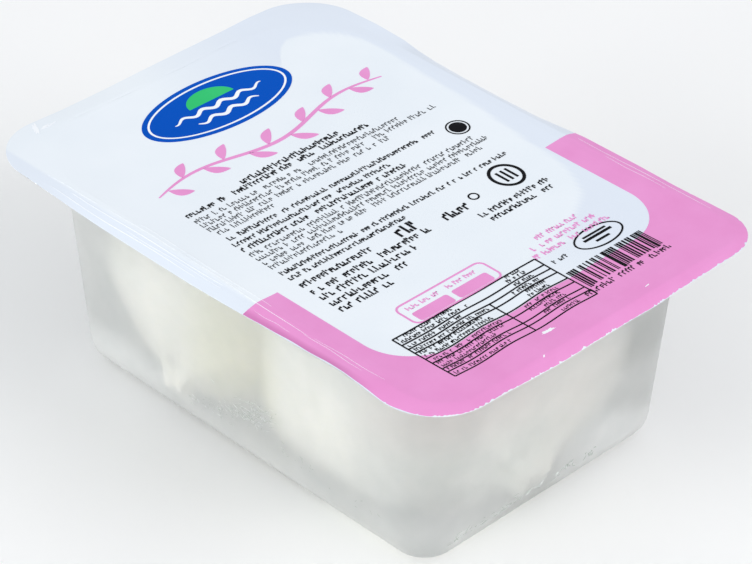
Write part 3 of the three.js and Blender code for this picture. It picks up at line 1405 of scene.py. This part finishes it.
@dataclass(frozen=True)
class Garland:
    """A pink brush-drawn stem with leaves on both sides."""

    start: tuple[float, float] = (-38.5, 32.2)
    run: tuple[float, float] = (78.0, 3.0)
    sway: float = 2.4
    waves: float = 1.5
    thin: float = 0.16
    swell: float = 0.42
    swell_power: float = 0.6
    stem_steps: int = 160
    leaves: int = 12
    leaf_places: tuple[float, float] = (0.05, 0.95)
    leaf_length: float = 7.4
    leaf_taper: float = 2.6
    longest_at: float = 0.45
    leaf_half: float = 1.35
    leaf_power: float = 0.8
    leaf_bow: float = 0.7
    leaf_gap: float = 0.4
    leaf_steps: int = 20
    leaf_rows: int = 4
    leans: tuple[float, float] = (-42.0, 48.0)

    def draw(self, ink: InkOnFilm) -> list[Skin]:
        """The stem and its leaves.

        The stem is a slow wave along X that swells in its middle. Each leaf's outline has a half
        width that follows a half sine along its length, and leans away from the stem.

        Args:
            ink: What draws on the film.

        Returns:
            Their skins.
        """
        t = np.linspace(0, 1, self.stem_steps)
        wave = self.sway * np.sin(2 * pi * self.waves * t)
        stem = np.column_stack([self.start[0] + self.run[0] * t, self.start[1] + self.run[1] * t + wave])
        skins = [ink.stroke(stem, self.thin + self.swell * np.sin(pi * t) ** self.swell_power)]
        along = np.linspace(0, 1, self.leaf_steps)
        side = np.sin(pi * along[1:-1]) ** self.leaf_power
        share = np.concatenate([along, along[-2:0:-1]])
        half = self.leaf_half * np.concatenate([[0], -side, [0], side[::-1]])
        for number, place in enumerate(np.linspace(*self.leaf_places, self.leaves)):
            upper = number % 2
            length = self.leaf_length - self.leaf_taper * abs(place - self.longest_at)
            bow = (1 if upper else -1) * self.leaf_bow * np.sin(pi * share)
            leaf = np.column_stack([share * length + self.leaf_gap, half + bow])
            root = stem[int(place * (self.stem_steps - 1))]
            skins.append(ink.pad(root + turned(leaf, radians(self.leans[upper])), self.leaf_rows))
        return skins


@dataclass(frozen=True)
class Label:
    """The blue oval label, and on it a white ring, two white waves and a green hill over them."""

    middle: tuple[float, float] = (0.7, 54.5)
    oval: tuple[float, float] = (23.5, 11.0)
    oval_rows: int = 12
    ring_outside: tuple[float, float] = (21.9, 9.7)
    ring_inside: tuple[float, float] = (21.3, 9.15)
    sides: int = 120
    # Height and half length of each wave.
    waves: tuple[tuple[float, float], ...] = ((-0.2, 15.0), (-4.2, 10.0))
    wave_height: float = 0.75
    wave_length: float = 6.4
    wave_thin: float = 0.1
    wave_swell: float = 0.5
    wave_steps: int = 90
    hill_base: float = 2.2
    hill_size: tuple[float, float] = (7.4, 5.2)
    arc_steps: int = 60
    foot_steps: int = 20
    hill_rows: int = 5

    def draw(self, ink: InkOnFilm) -> tuple[Skin, list[Skin], Skin]:
        """The oval, its white marks and the hill, which is half an ellipse closed by a straight line.

        Args:
            ink: What draws on the film.

        Returns:
            The skins of the oval, the white marks and the hill.
        """
        oval = ink.pad(ellipse(self.middle, self.oval, self.sides), self.oval_rows)
        ring = [ellipse(self.middle, half, self.sides) for half in (self.ring_outside, self.ring_inside)]
        white = [ink.band(*ring, Lift.TOP)]
        t = np.linspace(0, 1, self.wave_steps)
        half = self.wave_thin + self.wave_swell * np.sin(pi * t) ** 0.5
        for rise, reach in self.waves:
            along = reach * (2 * t - 1)
            wave = rise + self.wave_height * np.sin(2 * pi * along / self.wave_length)
            white.append(ink.stroke(self.middle + np.column_stack([along, wave]), half, Lift.TOP))
        arc, foot = np.linspace(0, pi, self.arc_steps), np.linspace(-1, 1, self.foot_steps)[1:-1]
        hill = np.concatenate([
            np.column_stack([np.cos(arc), np.sin(arc)]), np.column_stack([foot, np.zeros_like(foot)]),
        ])
        place = np.array(self.middle) + [0, self.hill_base]
        return oval, white, ink.pad(place + hill * self.hill_size, self.hill_rows, Lift.TOP)


@dataclass(frozen=True)
class Icons:
    """The small dark rings, disc and bars beside the small print."""

    # Middle, half size and thickness of each ring.
    rings: tuple[tuple[tuple[float, float], tuple[float, float], float], ...] = (
        ((29.5, -18.5), (4.6, 5.0), 0.9), ((26.4, -51.7), (7.7, 4.0), 0.5),
        ((17.0, -19.5), (1.5, 1.5), 0.45), ((36.3, 4.8), (3.2, 3.2), 0.4),
    )
    disc_middle: tuple[float, float] = (36.3, 4.8)
    disc_radius: float = 2.3
    # Left, low, right and high of each bar.
    bars: tuple[tuple[float, float, float, float], ...] = (
        (27.6, -20.9, 28.3, -16.2), (29.2, -20.9, 29.9, -16.2), (30.8, -20.9, 31.5, -16.2),
        (22.6, -50.4, 30.4, -49.8), (21.8, -51.7, 31.2, -50.9), (24.2, -53.4, 28.8, -52.7),
    )
    sides: int = 64

    def draw(self, ink: InkOnFilm) -> list[Skin]:
        """The rings, the disc and the bars.

        Args:
            ink: What draws on the film.

        Returns:
            Their skins.
        """
        skins = []
        for middle, half, thick in self.rings:
            outer = ellipse(middle, half, self.sides)
            skins.append(ink.band(outer, ellipse(middle, np.array(half) - thick, self.sides)))
        skins.append(ink.pad(ellipse(self.disc_middle, self.disc_radius, self.sides)))
        return skins + [ink.tiles(np.array(self.bars))]


@dataclass(frozen=True)
class StripeCode:
    """Upright stripes of one to four modules with like gaps."""

    left: float = 9.3
    right: float = 35.2
    low: float = -64.8
    guard_low: float = -65.2
    middle: float = -61.2
    high: float = -57.0
    module: float = 0.264
    widths: tuple[int, ...] = (1, 1, 1, 2, 2, 3, 4)
    count: int = 80
    guard_every: int = 24
    guard_runs: int = 3
    gain: float = 0.02

    def draw(self, ink: InkOnFilm, rng: np.random.Generator) -> Skin:
        """Every other run of modules inked, with a few guard stripes that reach lower.

        A stripe is two tiles, one above the other, so that it follows the film.

        Args:
            ink: What draws on the film.
            rng: Where the widths come from.

        Returns:
            The stripes' skins.
        """
        number = np.arange(self.count)
        ends = self.left + self.module * np.cumsum(rng.choice(self.widths, self.count))
        starts = np.concatenate([[self.left], ends[:-1]])
        inked = (number % 2 == 0) & (ends < self.right)
        low = np.where(number % self.guard_every < self.guard_runs, self.guard_low, self.low)
        middle, high = np.full(self.count, self.middle), np.full(self.count, self.high)
        halves = [
            np.column_stack([starts - self.gain, bottom, ends + self.gain, top])[inked]
            for bottom, top in ((low, middle), (middle, high))
        ]
        return ink.tiles(np.concatenate(halves))


@dataclass(frozen=True)
class Table:
    """The ruled table, with a short line of print in each cell."""

    rows: tuple[float, ...] = (-48.0, -51.1, -53.2, -55.3, -58.6, -60.8, -63.9, -65.6, -68.0)
    left: float = -38.8
    right: float = 8.2
    divider: float = -12.5
    rule_half: float = 0.22
    rule_steps: int = 95
    side_steps: int = 45
    divider_start: int = 12
    deep_row: float = 3.0
    letter: float = 1.25
    base_gap: float = 0.45
    text_gap: float = 0.9
    ragged: tuple[float, float] = (1.0, 9.0)
    value_left: float = -4.5
    value_shift: tuple[float, float] = (-3.0, 2.0)
    value_right: float = 3.5

    def draw(self, ink: InkOnFilm, small_print: SmallPrint, rng: np.random.Generator) -> list[Skin]:
        """The rules, then a text and a value in each row, twice in a deep one.

        Args:
            ink: What draws on the film.
            small_print: What the cells' lines are made of.
            rng: Where the draws come from.

        Returns:
            Its skins.
        """
        across = np.linspace(self.left, self.right, self.rule_steps)
        down = np.linspace(self.rows[0], self.rows[-1], self.side_steps)
        below = down[self.divider_start:]
        rules = [np.column_stack([across, np.full_like(across, y)]) for y in self.rows]
        rules += [np.column_stack([np.full_like(down, x), down]) for x in (self.left, self.right)]
        rules.append(np.column_stack([np.full_like(below, self.divider), below]))
        skins = [ink.stroke(rule, self.rule_half) for rule in rules]
        for high, low in zip(self.rows, self.rows[1:]):
            lines = 2 if high - low > self.deep_row else 1
            for line in range(lines):
                base = low + self.base_gap + line * (high - low) / lines
                right = self.divider - rng.uniform(*self.ragged)
                left = self.value_left + rng.uniform(*self.value_shift)
                text = TextLine(base, self.left + self.text_gap, right, self.letter, Weight.SEMIBOLD)
                value = TextLine(base, left, self.value_right, self.letter, Weight.SEMIBOLD)
                marks = [small_print.marks(cell, rng) for cell in (text, value)]
                skins.append(ink.tiles(np.concatenate(marks)))
        return skins


@dataclass(frozen=True)
class PinkBox:
    """A rounded pink outline with two filled cells."""

    middle: tuple[float, float] = (-16.0, -43.6)
    outside: Plan = Plan(29.0, 8.6, 2.2)
    inside: Plan = Plan(27.95, 7.55, 1.7)
    cell: Plan = Plan(11.4, 3.6, 0.7)
    cell_middles: tuple[tuple[float, float], ...] = ((-22.7, -45.4), (-9.8, -45.4))
    cell_rows: int = 6
    spread: Spread = Spread(6, 31, 9)

    def draw(self, ink: InkOnFilm) -> list[Skin]:
        """The outline and its cells.

        Args:
            ink: What draws on the film.

        Returns:
            Their skins.
        """
        ring = [self.middle + plan.outline(self.spread) for plan in (self.outside, self.inside)]
        cell = self.cell.outline(self.spread)
        return [ink.band(*ring)] + [ink.pad(middle + cell, self.cell_rows) for middle in self.cell_middles]


@dataclass(frozen=True)
class WhiteSpotsAndHighlights:
    """White spots in and at the edge of the pink, and painted highlights: glints at a corner and lines along
    both edges.
    """

    shape: TrayShape
    # Place, half width, half height and lean of each spot; the three at the back-left corner are painted
    # glints.
    spots: tuple[tuple[float, float, float, float, float], ...] = (
        (-10.6, -70.2, 1.7, 0.7, 0.0), (-40.6, 76.2, 0.7, 2.2, -0.6), (-38.2, 75.4, 1.5, 0.45, 0.1),
        (-36.4, 75.2, 1.6, 0.3, 0.1), (-18.8, -76.4, 0.4, 0.2, 0.4), (18.6, -74.1, 0.8, 0.16, 0.1),
    )
    spot_sides: int = 28
    spot_radii: tuple[float, float] = (0.62, 1.25)
    spot_stretch: float = 0.2
    # Distance from the left edge, start, stop, sideways drift and half width of each painted highlight line
    # along a crease.
    highlight_lines: tuple[tuple[float, float, float, float, float], ...] = (
        (5.5, 14.0, -34.0, -1.6, 0.05), (3.9, -33.0, -52.0, -0.3, 0.03), (5.0, 36.0, -11.0, 0.2, 0.045),
        (2.6, 27.0, -6.0, 0.3, 0.035), (4.4, 58.0, 40.0, 0.2, 0.03), (2.2, -18.0, -30.0, 0.1, 0.02),
        (1.7, 54.0, 2.0, 0.3, 0.07), (3.4, 48.0, -6.0, 0.3, 0.08), (6.4, 26.0, -20.0, -0.5, 0.05),
        (4.4, -36.0, -58.0, 0.5, 0.03), (109.7, -20.0, -63.0, 0.3, 0.05), (108.3, -30.0, -50.0, 0.2, 0.03),
    )
    highlight_steps: int = 80
    highlight_wave: float = 0.12
    highlight_turn: float = 9.0
    highlight_tip: float = 0.2

    def draw(self, ink: InkOnFilm, rng: np.random.Generator) -> list[Skin]:
        """The spots and the painted highlight lines.

        A spot's outline is an ellipse whose radius is uneven from point to point. A painted highlight
        line runs along an edge, drifts sideways by a slow wave and thins out at its ends.

        Args:
            ink: What draws on the film.
            rng: Where the draws come from.

        Returns:
            Their skins.
        """
        skins = []
        turn = np.linspace(0, 2 * pi, self.spot_sides, endpoint=False)
        for x, y, wide, high, lean in self.spots:
            radius = rng.uniform(*self.spot_radii, self.spot_sides)
            radius *= 1 + self.spot_stretch * np.sin(2 * turn + x)
            spot = np.column_stack([wide * radius * np.cos(turn), high * radius * np.sin(turn)])
            skins.append(ink.pad(turned(spot, lean) + [x, y]))
        t = np.linspace(0, 1, self.highlight_steps)
        for from_left, start, stop, drift, half in self.highlight_lines:
            wave = self.highlight_wave * np.sin(self.highlight_turn * t + from_left)
            x = from_left - self.shape.flange.width / 2 + drift * t + wave
            path = np.column_stack([x, start + (stop - start) * t])
            skins.append(ink.stroke(path, half * (self.highlight_tip + np.sin(pi * t) ** 0.5)))
        return skins


@dataclass
class LidPrint:
    """The print on the film, one piece for each ink."""

    shape: TrayShape
    seal: SealShape
    # Its deep tone is painted shade on the left hang of the pink border.
    pink: Finish = PrintInk("pink_ink", "#E894CE", "#EC9BD4", deep="#D27FB8")
    black: Finish = PrintInk("black_ink", "#0C0C10", "#16161A", gloss=0.04, mottle=3.0)
    blue: Finish = PrintInk("blue_ink", "#0051BC", "#0056C2", gloss=0.02, mottle=30.0)
    green: Finish = PrintInk("green_ink", "#30C26F", "#38C877", gloss=0.04)
    # The white ink also carries the painted glints and crease highlights.
    white: Finish = PrintInk("white_ink_and_highlights", "#F4F8FD", "#FCFEFF")
    seed: int = 11
    lines: tuple[TextLine, ...] = (
        TextLine(23.0, -19.5, 16.0, 2.1, Weight.BOLD),
        TextLine(20.7, -39.3, 22.0, 1.9, Weight.BOLD),
        TextLine(17.6, -39.3, 30.0, 1.8),
        TextLine(15.2, -39.3, 39.5),
        TextLine(12.8, -39.3, 22.0),
        TextLine(10.4, -39.3, -20.0),
        TextLine(6.9, -39.3, 31.5, 1.7, Weight.SEMIBOLD),
        TextLine(4.0, -39.3, 13.0, 1.7, Weight.SEMIBOLD),
        TextLine(1.1, -39.3, 15.5, 1.9, Weight.BOLD),
        TextLine(-1.7, -39.3, 37.5),
        TextLine(-4.0, -39.3, 38.5),
        TextLine(-6.3, -39.3, 35.0),
        TextLine(-8.7, -39.3, -15.0),
        TextLine(-12.2, -39.3, 37.0, 1.7, Weight.SEMIBOLD),
        TextLine(-15.0, -39.3, -0.5, 1.7, Weight.SEMIBOLD),
        TextLine(-19.1, -39.3, -14.0, 2.25, Weight.SEMIBOLD),
        TextLine(-22.8, -39.3, 0.0, 2.25, Weight.SEMIBOLD),
        TextLine(-25.9, -39.3, -8.0, 2.25, Weight.SEMIBOLD),
        TextLine(-29.2, -39.3, -14.0, 2.25, Weight.SEMIBOLD),
        TextLine(-32.3, -39.3, -20.5, 2.25, Weight.BOLD),
        TextLine(-27.4, 12.0, 36.5, 1.9, Weight.BOLD),
        TextLine(-30.2, 13.0, 35.0, 1.9, Weight.BOLD),
        TextLine(-19.9, -10.0, -0.5, 3.8, Weight.HEAVY),
        TextLine(-22.5, 5.0, 14.0, 3.0, Weight.HEAVY),
        TextLine(-52.7, 9.5, 15.5, 1.5, Weight.SEMIBOLD),
        TextLine(-67.4, 5.8, 36.0, 2.0, Weight.SEMIBOLD),
    )
    pink_lines: tuple[TextLine, ...] = (
        TextLine(-43.0, 14.5, 29.0, 1.8, Weight.SEMIBOLD),
        TextLine(-45.8, 10.5, 33.0, 1.8, Weight.SEMIBOLD),
        TextLine(-48.6, 8.5, 34.5, 1.8, Weight.SEMIBOLD),
        TextLine(-42.4, -28.0, -17.5, 1.5, Weight.SEMIBOLD),
        TextLine(-42.4, -15.0, -5.0, 1.5, Weight.SEMIBOLD),
    )

    def build(self) -> list[bpy.types.Object]:
        """Make the print; the border carries its share of painted shade.

        Returns:
            The pieces.
        """
        rng = np.random.default_rng(self.seed)
        ink, small_print, border = InkOnFilm(self.seal), SmallPrint(), PinkBorder(self.shape)
        border_shape = border.draw(ink, rng)
        black = small_print.draw(ink, self.lines, rng) + Icons().draw(ink)
        black += [StripeCode().draw(ink, rng)] + Table().draw(ink, small_print, rng)
        pink = small_print.draw(ink, self.pink_lines, rng) + Garland().draw(ink) + PinkBox().draw(ink)
        oval, white, hill = Label().draw(ink)
        # Painted glints and crease highlights go in with the white print.
        white += WhiteSpotsAndHighlights(self.shape).draw(ink, rng)
        border_piece = make_piece("pink_border", border_shape, self.pink)
        carry(border_piece, "deep", border.depth(border_shape[0][:, :2]))
        return [
            border_piece,
            make_piece("black_print", joined(black), self.black),
            make_piece("pink_print", joined(pink), self.pink),
            make_piece("blue_label", oval, self.blue),
            make_piece("white_print_and_highlights", joined(white), self.white),
            make_piece("green_print", hill, self.green),
        ]


@dataclass
class Burrata:
    """A flattened ball of stretched curd whose skin is drawn together in a knot."""

    name: str
    node: str
    centre: tuple[float, float, float]
    knot: tuple[float, float, float]
    knot_radius: float
    phase: float
    lean: float
    draw_in: float
    cream_end: float
    half: tuple[float, float, float] = (39.0, 29.5, 25.7)
    fullness: float = 2.7
    uneven: float = 0.018
    waves: tuple[tuple[float, float, float], ...] = ((2.6, 1.9, 0.0), (0.0, 3.4, -2.2))
    steepness: float = 8.0
    folds: int = 9
    fold_depth: float = 0.9
    fold_reach: float = 0.55
    fold_sway: float = 1.7
    fold_twist: float = 2.0
    fold_start: float = 0.12
    row_ends: tuple[float, float] = (0.012, 0.998)
    crowding: float = 1.5
    rows: int = 90
    sides: int = 120
    cream_fade: float = 14.0
    # Where the painted pink reflection and the painted shade lie on the cheese, in millimetres.
    pink_reflection_start: tuple[float, float, float] = (-38.0, 14.0, 8.0)
    pink_reflection_fade: tuple[float, float, float] = (13.0, 16.0, 18.0)
    pink_reflection_least: float = 0.45
    shade_start: tuple[float, float, float] = (6.0, 33.0, 38.0)
    shade_fade: tuple[float, float, float] = (10.0, 9.0, 12.0)
    finish: Finish = FreshCheese()

    def fill(self, direction: np.ndarray) -> np.ndarray:
        """How much further out than an ellipsoid the ball reaches.

        It is drawn in, or let out, low down at its +Y end, by the product of two parts of the
        direction. That is at most one half, so it counts twice.

        Args:
            direction: Unit vectors of shape (..., 3).

        Returns:
            The factor for each.
        """
        power = self.fullness + self.lean * direction[..., 1]
        low = np.maximum(direction[..., 1], 0) * np.maximum(-direction[..., 2], 0)
        full = (np.abs(direction) ** power[..., None]).sum(axis=-1) ** (-1 / power)
        return full * (1 - 2 * self.draw_in * low)

    def points(self) -> np.ndarray:
        """Rings from the far side to the knot.

        Each point of a unit ball is divided by the root of the sum of its parts' powers, which
        fills the ball out, more so where it meets the other cheese. It is drawn in or let out low
        down, stretched to the half sizes and made slowly uneven by two waves. Near the knot it is
        lifted towards it by height / (1 + (angle / knot angle) ^ steepness), with folds that run
        out from the knot and fade.

        Returns:
            Points of shape (rows, sides, 3).
        """
        half, knot = np.array(self.half), np.array(self.knot)
        pole = knot / half / np.linalg.norm(knot / half)
        first = np.cross(pole, [0, 0, 1])
        first /= np.linalg.norm(first)
        second = np.cross(pole, first)
        angle = (pi * np.linspace(*self.row_ends, self.rows) ** self.crowding)[::-1, None]
        turn = np.linspace(0, 2 * pi, self.sides, endpoint=False)[None, :]
        ball = (
            (np.sin(angle) * np.cos(turn))[..., None] * first
            + (np.sin(angle) * np.sin(turn))[..., None] * second
            + (np.cos(angle) * np.ones_like(turn))[..., None] * pole
        )
        swell = np.sin(ball @ np.array(self.waves).T + self.phase).sum(axis=-1)
        height = np.linalg.norm(knot) - np.linalg.norm(pole * half) * self.fill(pole)
        lift = height / (1 + (angle * half[1] / self.knot_radius) ** self.steepness)
        sway = self.fold_sway * np.sin(2 * turn + self.phase)
        fold = np.cos(self.folds * turn + sway + self.fold_twist * angle)
        near_knot = np.exp(-angle / self.fold_reach) * np.minimum(angle / self.fold_start, 1)
        shape = ball * half * (self.fill(ball) * (1 + self.uneven * swell))[..., None]
        shape += (lift * np.ones_like(turn))[..., None] * knot / np.linalg.norm(knot)
        shape += (self.fold_depth * fold * near_knot)[..., None] * ball
        return shape + np.array(self.centre)

    def build(self) -> list[bpy.types.Object]:
        """Make the cheese: yellower where cream seeps out, painted pink reflection under the pink ink,
        painted shade low at its end.

        Returns:
            Its one piece.
        """
        shape = skin(self.points())
        piece = make_piece(self.name, shape, self.finish, self.node)
        x, y, z = shape[0].T
        to_front = np.clip((self.pink_reflection_start[0] - y) / self.pink_reflection_fade[0], 0, 1)
        upwards = np.clip((z - self.pink_reflection_start[1]) / self.pink_reflection_fade[1], 0, 1)
        to_left = np.clip((self.pink_reflection_start[2] - x) / self.pink_reflection_fade[2], self.pink_reflection_least, 1)
        carry(piece, "cream", np.clip((self.cream_end - np.abs(y)) / self.cream_fade, 0, 1))
        carry(piece, "pink_reflection", to_front * upwards * to_left)
        past = (np.column_stack([x, np.abs(y), z]) - self.shade_start) * [-1, 1, -1]
        carry(piece, "shade", np.clip(past / np.array(self.shade_fade), 0, 1).prod(axis=1))
        return [piece]


@dataclass
class Liquid:
    """The liquid round the cheeses, reaching midway into the tray's wall so no air gap shows."""

    shape: TrayShape
    level: float = 54.0
    steps: tuple[int, int] = (10, 12)
    finish: Finish = CloudyLiquid()
    spread: Spread = Spread(20, 25, 36)

    def build(self) -> list[bpy.types.Object]:
        """Make the liquid.

        Returns:
            Its one piece.
        """
        inset = self.shape.wall / 2
        rings = self.shape.body(inset, inset, self.level, self.steps, self.spread)
        piece = make_piece("brine", skin(np.stack(rings)), self.finish, "liquid")
        return [piece]


class Wall(Enum):
    """The two walls with frost on them: the axis along the wall and the one that it faces against."""

    SIDE = (1, 0)
    END = (0, 1)


@dataclass(frozen=True)
class FrostPatch:
    """Needles scattered about a line on a wall, from one place along and up it to another."""

    wall: Wall
    start: tuple[float, float]
    stop: tuple[float, float]
    count: int
    scatter: float
    lean: float
    spread: float
    length: tuple[float, float]
    half: float
    clear: float


@dataclass
class WallFrost:
    """Needles and grains of ice seen at the face of the wall."""

    shape: TrayShape
    finish: Finish = Frost()
    lift: float = 0.02
    sunk: float = 0.03
    bow: float = 0.12
    thinnest: float = 0.5
    blunt: float = 1.02
    steps: int = 9
    seed: int = 5
    patches: tuple[FrostPatch, ...] = (
        FrostPatch(Wall.SIDE, (-3, 17), (-12, 22), 110, 1.9, -35, 25, (0.8, 3.2), 0.05, 0.55),
        FrostPatch(Wall.SIDE, (6, 13), (-4, 17), 70, 1.4, 26, 40, (0.5, 1.8), 0.06, 0.6),
        FrostPatch(Wall.SIDE, (18, 10.5), (5, 13), 40, 1.0, 30, 45, (0.4, 1.4), 0.06, 0.7),
        FrostPatch(Wall.SIDE, (-15, 14), (-50, 10.5), 22, 1.0, 20, 35, (0.4, 1.6), 0.06, 0.6),
        FrostPatch(Wall.SIDE, (8, 21.3), (8, 21.3), 1, 0.0, 30, 0, (1.3, 1.3), 0.32, 0.0),
        FrostPatch(Wall.END, (-34, 7.8), (3, 8.0), 60, 0.7, 5, 25, (0.8, 2.6), 0.1, 0.6),
        FrostPatch(Wall.END, (3.5, 8.6), (8.5, 8.2), 16, 0.6, 40, 60, (0.6, 1.8), 0.18, 0.6),
        FrostPatch(Wall.END, (12.5, 8.6), (16.5, 8.2), 14, 0.6, 40, 60, (0.6, 1.8), 0.18, 0.6),
        FrostPatch(Wall.END, (2.4, 8.3), (2.4, 8.3), 1, 0.0, 30, 0, (1.1, 1.1), 0.36, 0.0),
    )

    def needles(self, patch: FrostPatch, rng: np.random.Generator) -> np.ndarray:
        """Draw one patch, each needle a slim bowed lens that lies in the face of the wall.

        Args:
            patch: Where and how many.
            rng: Where the draws come from.

        Returns:
            Rings of shape (count, steps, 4, 4): places, and 1 where a needle is clear.
        """
        start, stop = np.array(patch.start), np.array(patch.stop)
        middle = start + (stop - start) * rng.random((patch.count, 1))
        middle = middle + rng.normal(0, patch.scatter, middle.shape)
        turn = np.radians(patch.lean + rng.normal(0, patch.spread, patch.count))
        way = np.column_stack([np.cos(turn), np.sin(turn)])[:, None]
        aside = np.column_stack([-np.sin(turn), np.cos(turn)])[:, None]
        t = np.linspace(-1, 1, self.steps)[None, :, None]
        each = (patch.count, 1, 1)
        reach = rng.uniform(*patch.length, each) / 2
        bow = reach * rng.normal(0, self.bow, each)
        half = patch.half * rng.uniform(self.thinnest, 1, each) * np.sqrt(self.blunt - t ** 2)
        line = middle[:, None] + way * reach * t + aside * bow * (1 - t ** 2)
        right, left = line - aside * half, line + aside * half
        sides = np.stack([right, left, left, right], axis=2)
        run, depth = patch.wall.value
        ends = np.array([[plan.width, plan.length] for plan in (self.shape.base, self.shape.mouth)])[:, depth]
        height = np.maximum(sides[..., 1], self.shape.base_fillet)
        rings = np.empty(sides.shape[:-1] + (4,))
        rings[..., run], rings[..., 2] = sides[..., 0], height
        face = (ends[0] + (ends[1] - ends[0]) * height / self.shape.top) / 2
        rings[..., depth] = -face - np.array([-self.sunk, -self.sunk, self.lift, self.lift])
        rings[..., 3] = rng.random(each) < patch.clear
        return rings if patch.wall is Wall.END else rings[:, :, ::-1]

    def build(self) -> list[bpy.types.Object]:
        """Make the frost.

        Returns:
            Its one piece.
        """
        rng = np.random.default_rng(self.seed)
        rings = np.concatenate([self.needles(patch, rng) for patch in self.patches])
        piece = make_piece("wall_frost", skin(rings[..., :3]), self.finish)
        carry(piece, "clear_ice", rings[..., 3].ravel())
        return [piece]


@dataclass(frozen=True)
class SoftLamp:
    """A square soft box aimed at the pack."""

    name: str
    place: tuple[float, float, float]
    size: float
    power: float
    colour: str = "#FFFFFF"


@dataclass
class Studio:
    """Pale floor, soft lamps and a camera at the photo's angle, in metres."""

    lamps: tuple[SoftLamp, ...] = (
        SoftLamp("key_lamp", (-1.36, 0.5, 0.42), 1.0, 11.9),
        SoftLamp("fill_lamp", (0.5, -1.3, 0.86), 1.0, 10.8, "#FFFCFD"),
        SoftLamp("back_lamp", (0.76, 0.79, 0.77), 0.6, 0.5),
    )
    aim: tuple[float, float, float] = (0.0, 0.0, 0.03)
    floor_radius: float = 4.0
    floor_sides: int = 96
    # Share of the radius, and height in millimetres, of each ring.
    floor_rings: tuple[tuple[float, float], ...] = (
        (0.001, -20), (0.1, -20), (0.4, -20), (1.0, -20), (1.0, 0), (0.001, 0),
    )
    sky: str = "#F4F7FB"
    sky_strength: float = 0.725
    camera_place: tuple[float, float, float] = (-0.46615, -0.47382, 0.50031)
    azimuth: float = -44.740
    elevation: float = 35.084
    roll: float = -0.559
    lens: float = 157.57
    sensor: float = 36.0
    clip: tuple[float, float] = (0.01, 20.0)

    def floor(self) -> None:
        """A wide round board, by rings shrunk to its middle."""
        turn = np.linspace(0, 2 * pi, self.floor_sides, endpoint=False)
        shares, heights = np.array(self.floor_rings).T[..., None, None]
        flat = np.stack([np.cos(turn), np.sin(turn)], axis=-1) * (self.floor_radius / MM * shares)
        rings = np.concatenate([flat, np.broadcast_to(heights, flat.shape[:2] + (1,))], axis=-1)
        points, faces = skin(rings)
        mesh = bpy.data.meshes.new("floor")
        mesh.from_pydata((points * MM).tolist(), [], faces.tolist())
        mesh.materials.append(PaleFloor().material())
        board = bpy.data.objects.new("floor", mesh)
        bpy.context.scene.collection.objects.link(board)

    def light(self) -> None:
        """Even sky and the soft lamps."""
        scene = bpy.context.scene
        world = bpy.data.worlds.new("soft_sky")
        world.use_nodes = True
        sky = world.node_tree.nodes["Background"]
        sky.inputs["Color"].default_value = linear(self.sky)
        sky.inputs["Strength"].default_value = self.sky_strength
        scene.world = world
        scene.view_settings.view_transform = "Standard"
        for lamp in self.lamps:
            light = bpy.data.lights.new(lamp.name, "AREA")
            light.size, light.energy = lamp.size, lamp.power
            light.color = linear(lamp.colour)[:3]
            holder = bpy.data.objects.new(lamp.name, light)
            holder.location = lamp.place
            away = Vector(self.aim) - Vector(lamp.place)
            holder.rotation_euler = away.to_track_quat("-Z", "Y").to_euler()
            scene.collection.objects.link(holder)

    def camera(self) -> None:
        """The camera, turned by azimuth, elevation and roll."""
        az, el = radians(self.azimuth), radians(self.elevation)
        back = Vector((sin(az) * cos(el), -cos(az) * cos(el), sin(el)))
        level = (-back).cross(Vector((0, 0, 1))).normalized()
        down = (-back).cross(level)
        c, s = cos(radians(self.roll)), sin(radians(self.roll))
        right, low = c * level + s * down, c * down - s * level
        data = bpy.data.cameras.new("camera")
        data.lens, data.sensor_width, data.sensor_fit = self.lens, self.sensor, "HORIZONTAL"
        data.clip_start, data.clip_end = self.clip
        camera = bpy.data.objects.new("camera", data)
        facing = Matrix((right, -low, back)).transposed().to_4x4()
        camera.matrix_world = Matrix.Translation(self.camera_place) @ facing
        bpy.context.scene.collection.objects.link(camera)
        bpy.context.scene.camera = camera

    def build(self) -> list[bpy.types.Object]:
        """Set the studio up.

        Returns:
            No pieces of the pack.
        """
        self.floor()
        self.light()
        self.camera()
        return []


def main() -> None:
    """Build the studio and the pack."""
    logging.basicConfig(level=logging.INFO, format="%(message)s")
    shape = TrayShape()
    seal = SealShape(shape)
    assemblies = (
        Studio(),
        Tray(shape, seal),
        FilmLid(shape, seal),
        LidPrint(shape, seal),
        Burrata(
            "back_burrata", "burrata_back", centre=(-2.5, 29.8, 30.0), knot=(-35.9, -3.7, -23.0),
            knot_radius=4.6, phase=0.4, lean=-0.5, draw_in=0.16, cream_end=22.0),
        Burrata(
            "front_burrata", "burrata_front", centre=(-2.5, -29.8, 30.0), knot=(-2.5, -30.5, -20.3),
            knot_radius=5.5, phase=2.1, lean=0.5, draw_in=-0.07, cream_end=15.0),
        Liquid(shape),
        WallFrost(shape),
    )
    for assembly in assemblies:
        for piece in assembly.build():
            LOG.info("%s: %d faces", piece.name, len(piece.data.polygons))


if __name__ == "__main__":
    main()
